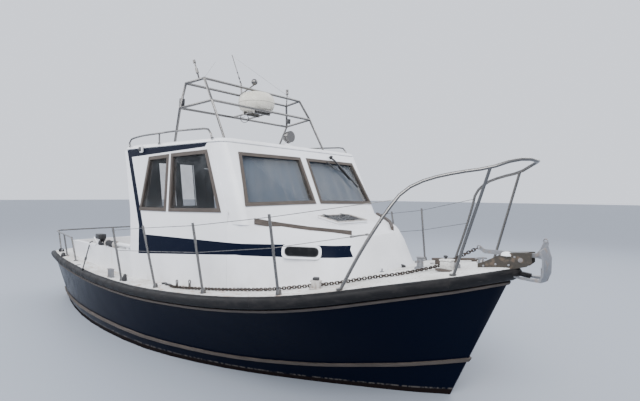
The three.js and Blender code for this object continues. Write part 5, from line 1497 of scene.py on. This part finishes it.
def helmFittings():
    low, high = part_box("console")
    x, y = (low[0] + high[0]) / 2 + helm["ahead"], helm["y"]
    top = surfaceAt("console", x, y)
    dials = [(x - 0.062, y + s, top + helm["dialUp"]) for s in helm["dials"]]
    fit("dialPod", "black", [block((0.12, 0.36, 0.1), (x, y, top + 0.049), soft=0.012, segments=3)])
    fit("dialRims", "steel", [ring(at, (-1, 0, 0), 0.036, 0.004) for at in dials])
    fit("dialFaces", "dial", [turned("dial", at, (-1, 0, 0), 28) for at in dials])
    fit("compass", "black", [turned("compass", (x, y - 0.02, top + 0.097), sides=28)])
    lever = y + helm["throttleY"]
    base = block((0.09, 0.05, 0.03), onDeck(x - 0.02, lever, 0.013, "console"), soft=0.006)
    arm = bar((x - 0.02, lever, top + 0.02), (x + 0.01, lever, top + 0.15), 0.006)
    fit("throttle", "steel", [base, arm])
    fit("throttleKnob", "black", [turned("throttleKnob", (x + 0.008, lever, top + 0.135), (0.2, 0, 1), 16)])


helmFittings()

cockpit = {
    "frameFeet": [(-1.72, -1.045), (-1.72, -1.01), (-1.52, -1.062), (-1.52, -1.03)],
    "frameMiddle": -1.62,
    "holder": (-1.565, -1.036),
    "spool": [(-1.245, -1.082), (-0.9, -1.102)],
    "spoolUp": 0.044,
    "flanges": [((-1.252, -1.082), (-1.235, -1.082)), ((-0.985, -1.098), (-0.97, -1.098))],
    "chocks": [(-1.2, -1.083), (-1.00, -1.092), (-0.6, -1.108)],
    "strapTop": (-2.081, -0.97),
    "strapFoot": (-1.445, -1.325),
    "lidRings": (0.3, -0.1),
    "exhaust": (-0.35, 0.2),
    "eyes": ((-0.55, 0.42), (0.55, 0.42)),
}


def cockpitFittings():
    c = cockpit
    strapTop = (*c["strapTop"], surfaceAt("coaming", -2.081, -0.965) + 0.01)
    strapFoot = onDeck(*c["strapFoot"], 0.006, "fenderBelt")
    fit("strap", "darkRope", [bar(strapTop, strapFoot, 0.0085),
                              bar(strapTop, (-2.085, -0.93, strapTop[2] + 0.012), 0.0085)])
    buckle = block((0.06, 0.03, 0.018), between(strapTop, strapFoot, 0.62), (0, 0.4, -0.5))
    fit("strapBuckle", "black", [buckle, ring(strapFoot, (1, 0.5, 0), 0.016, 0.004)])
    heap = surfaceAt("coaming", -1.6, -1.035)
    across = 2 * c["frameMiddle"]
    fit("holderFrame", "white", [bar((x, y, heap - 0.012), (across - x, y, heap + 0.105), 0.008)
                                 for x, y in c["frameFeet"]])
    box = block((0.125, 0.1, 0.07), (*c["holder"], heap + 0.125), (0, 0.04, 0), 0.008)
    fit("holderBox", "black", [box])
    rope = turns((-1.56, -1.036, heap + 0.02), (-1.49, -1.04, heap + 0.07), 0.036, 0.007, 5)
    fit("holderRope", "darkRope", [rope])
    high = surfaceAt("coaming", -1.1, -1.085) + c["spoolUp"]
    (x0, y0), (x1, y1) = c["spool"]
    fit("spool", "stained", [bar((x0, y0, high), (x1, y1, high), 0.028, 20)]
        + [bar((*start, high), (*end, high), 0.05, 20) for start, end in c["flanges"]])
    fit("spoolRope", "darkRope", [turns((-1.228, -1.083, high), (-0.992, -1.097, high), 0.034, 0.0075, 16)])
    fit("spoolTube", "white", [bar((x1, y1, high + 0.012), (-0.52, -1.118, high + 0.016), 0.026, 18)])
    fit("spoolRod", "black", [bar((-1.00, -1.066, high - 0.018), (-0.54, -1.084, high - 0.014), 0.01)])
    fit("spoolChocks", "white", [block((0.04, 0.05, 0.05), onDeck(*spot, 0.018, "coaming"), soft=0.006)
                                 for spot in c["chocks"]])
    ropes = [turns(onDeck(-3.53, y, 0.022), onDeck(-3.47, y, 0.022), 0.03, 0.008, 4) for y in (-0.862, 0.862)]
    fit("sternRopeTurns", "darkRope", ropes)
    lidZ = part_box("engineLid")[1][2] + 0.002
    rings = [ring((x, 0, lidZ), (0, 0, 1), 0.024, 0.004) for x in c["lidRings"]]
    fit("lidRings", "steel", rings, "engine_lid")
    fit("exhaust", "steel", [ring(sternPoint(*c["exhaust"]), (1, 0, 0.1), 0.036, 0.006)])
    fit("transomEyes", "steel", [ring(sternPoint(*eye), (0, 1, 0), 0.022, 0.005, 20) for eye in c["eyes"]])


cockpitFittings()
print("fittings made")
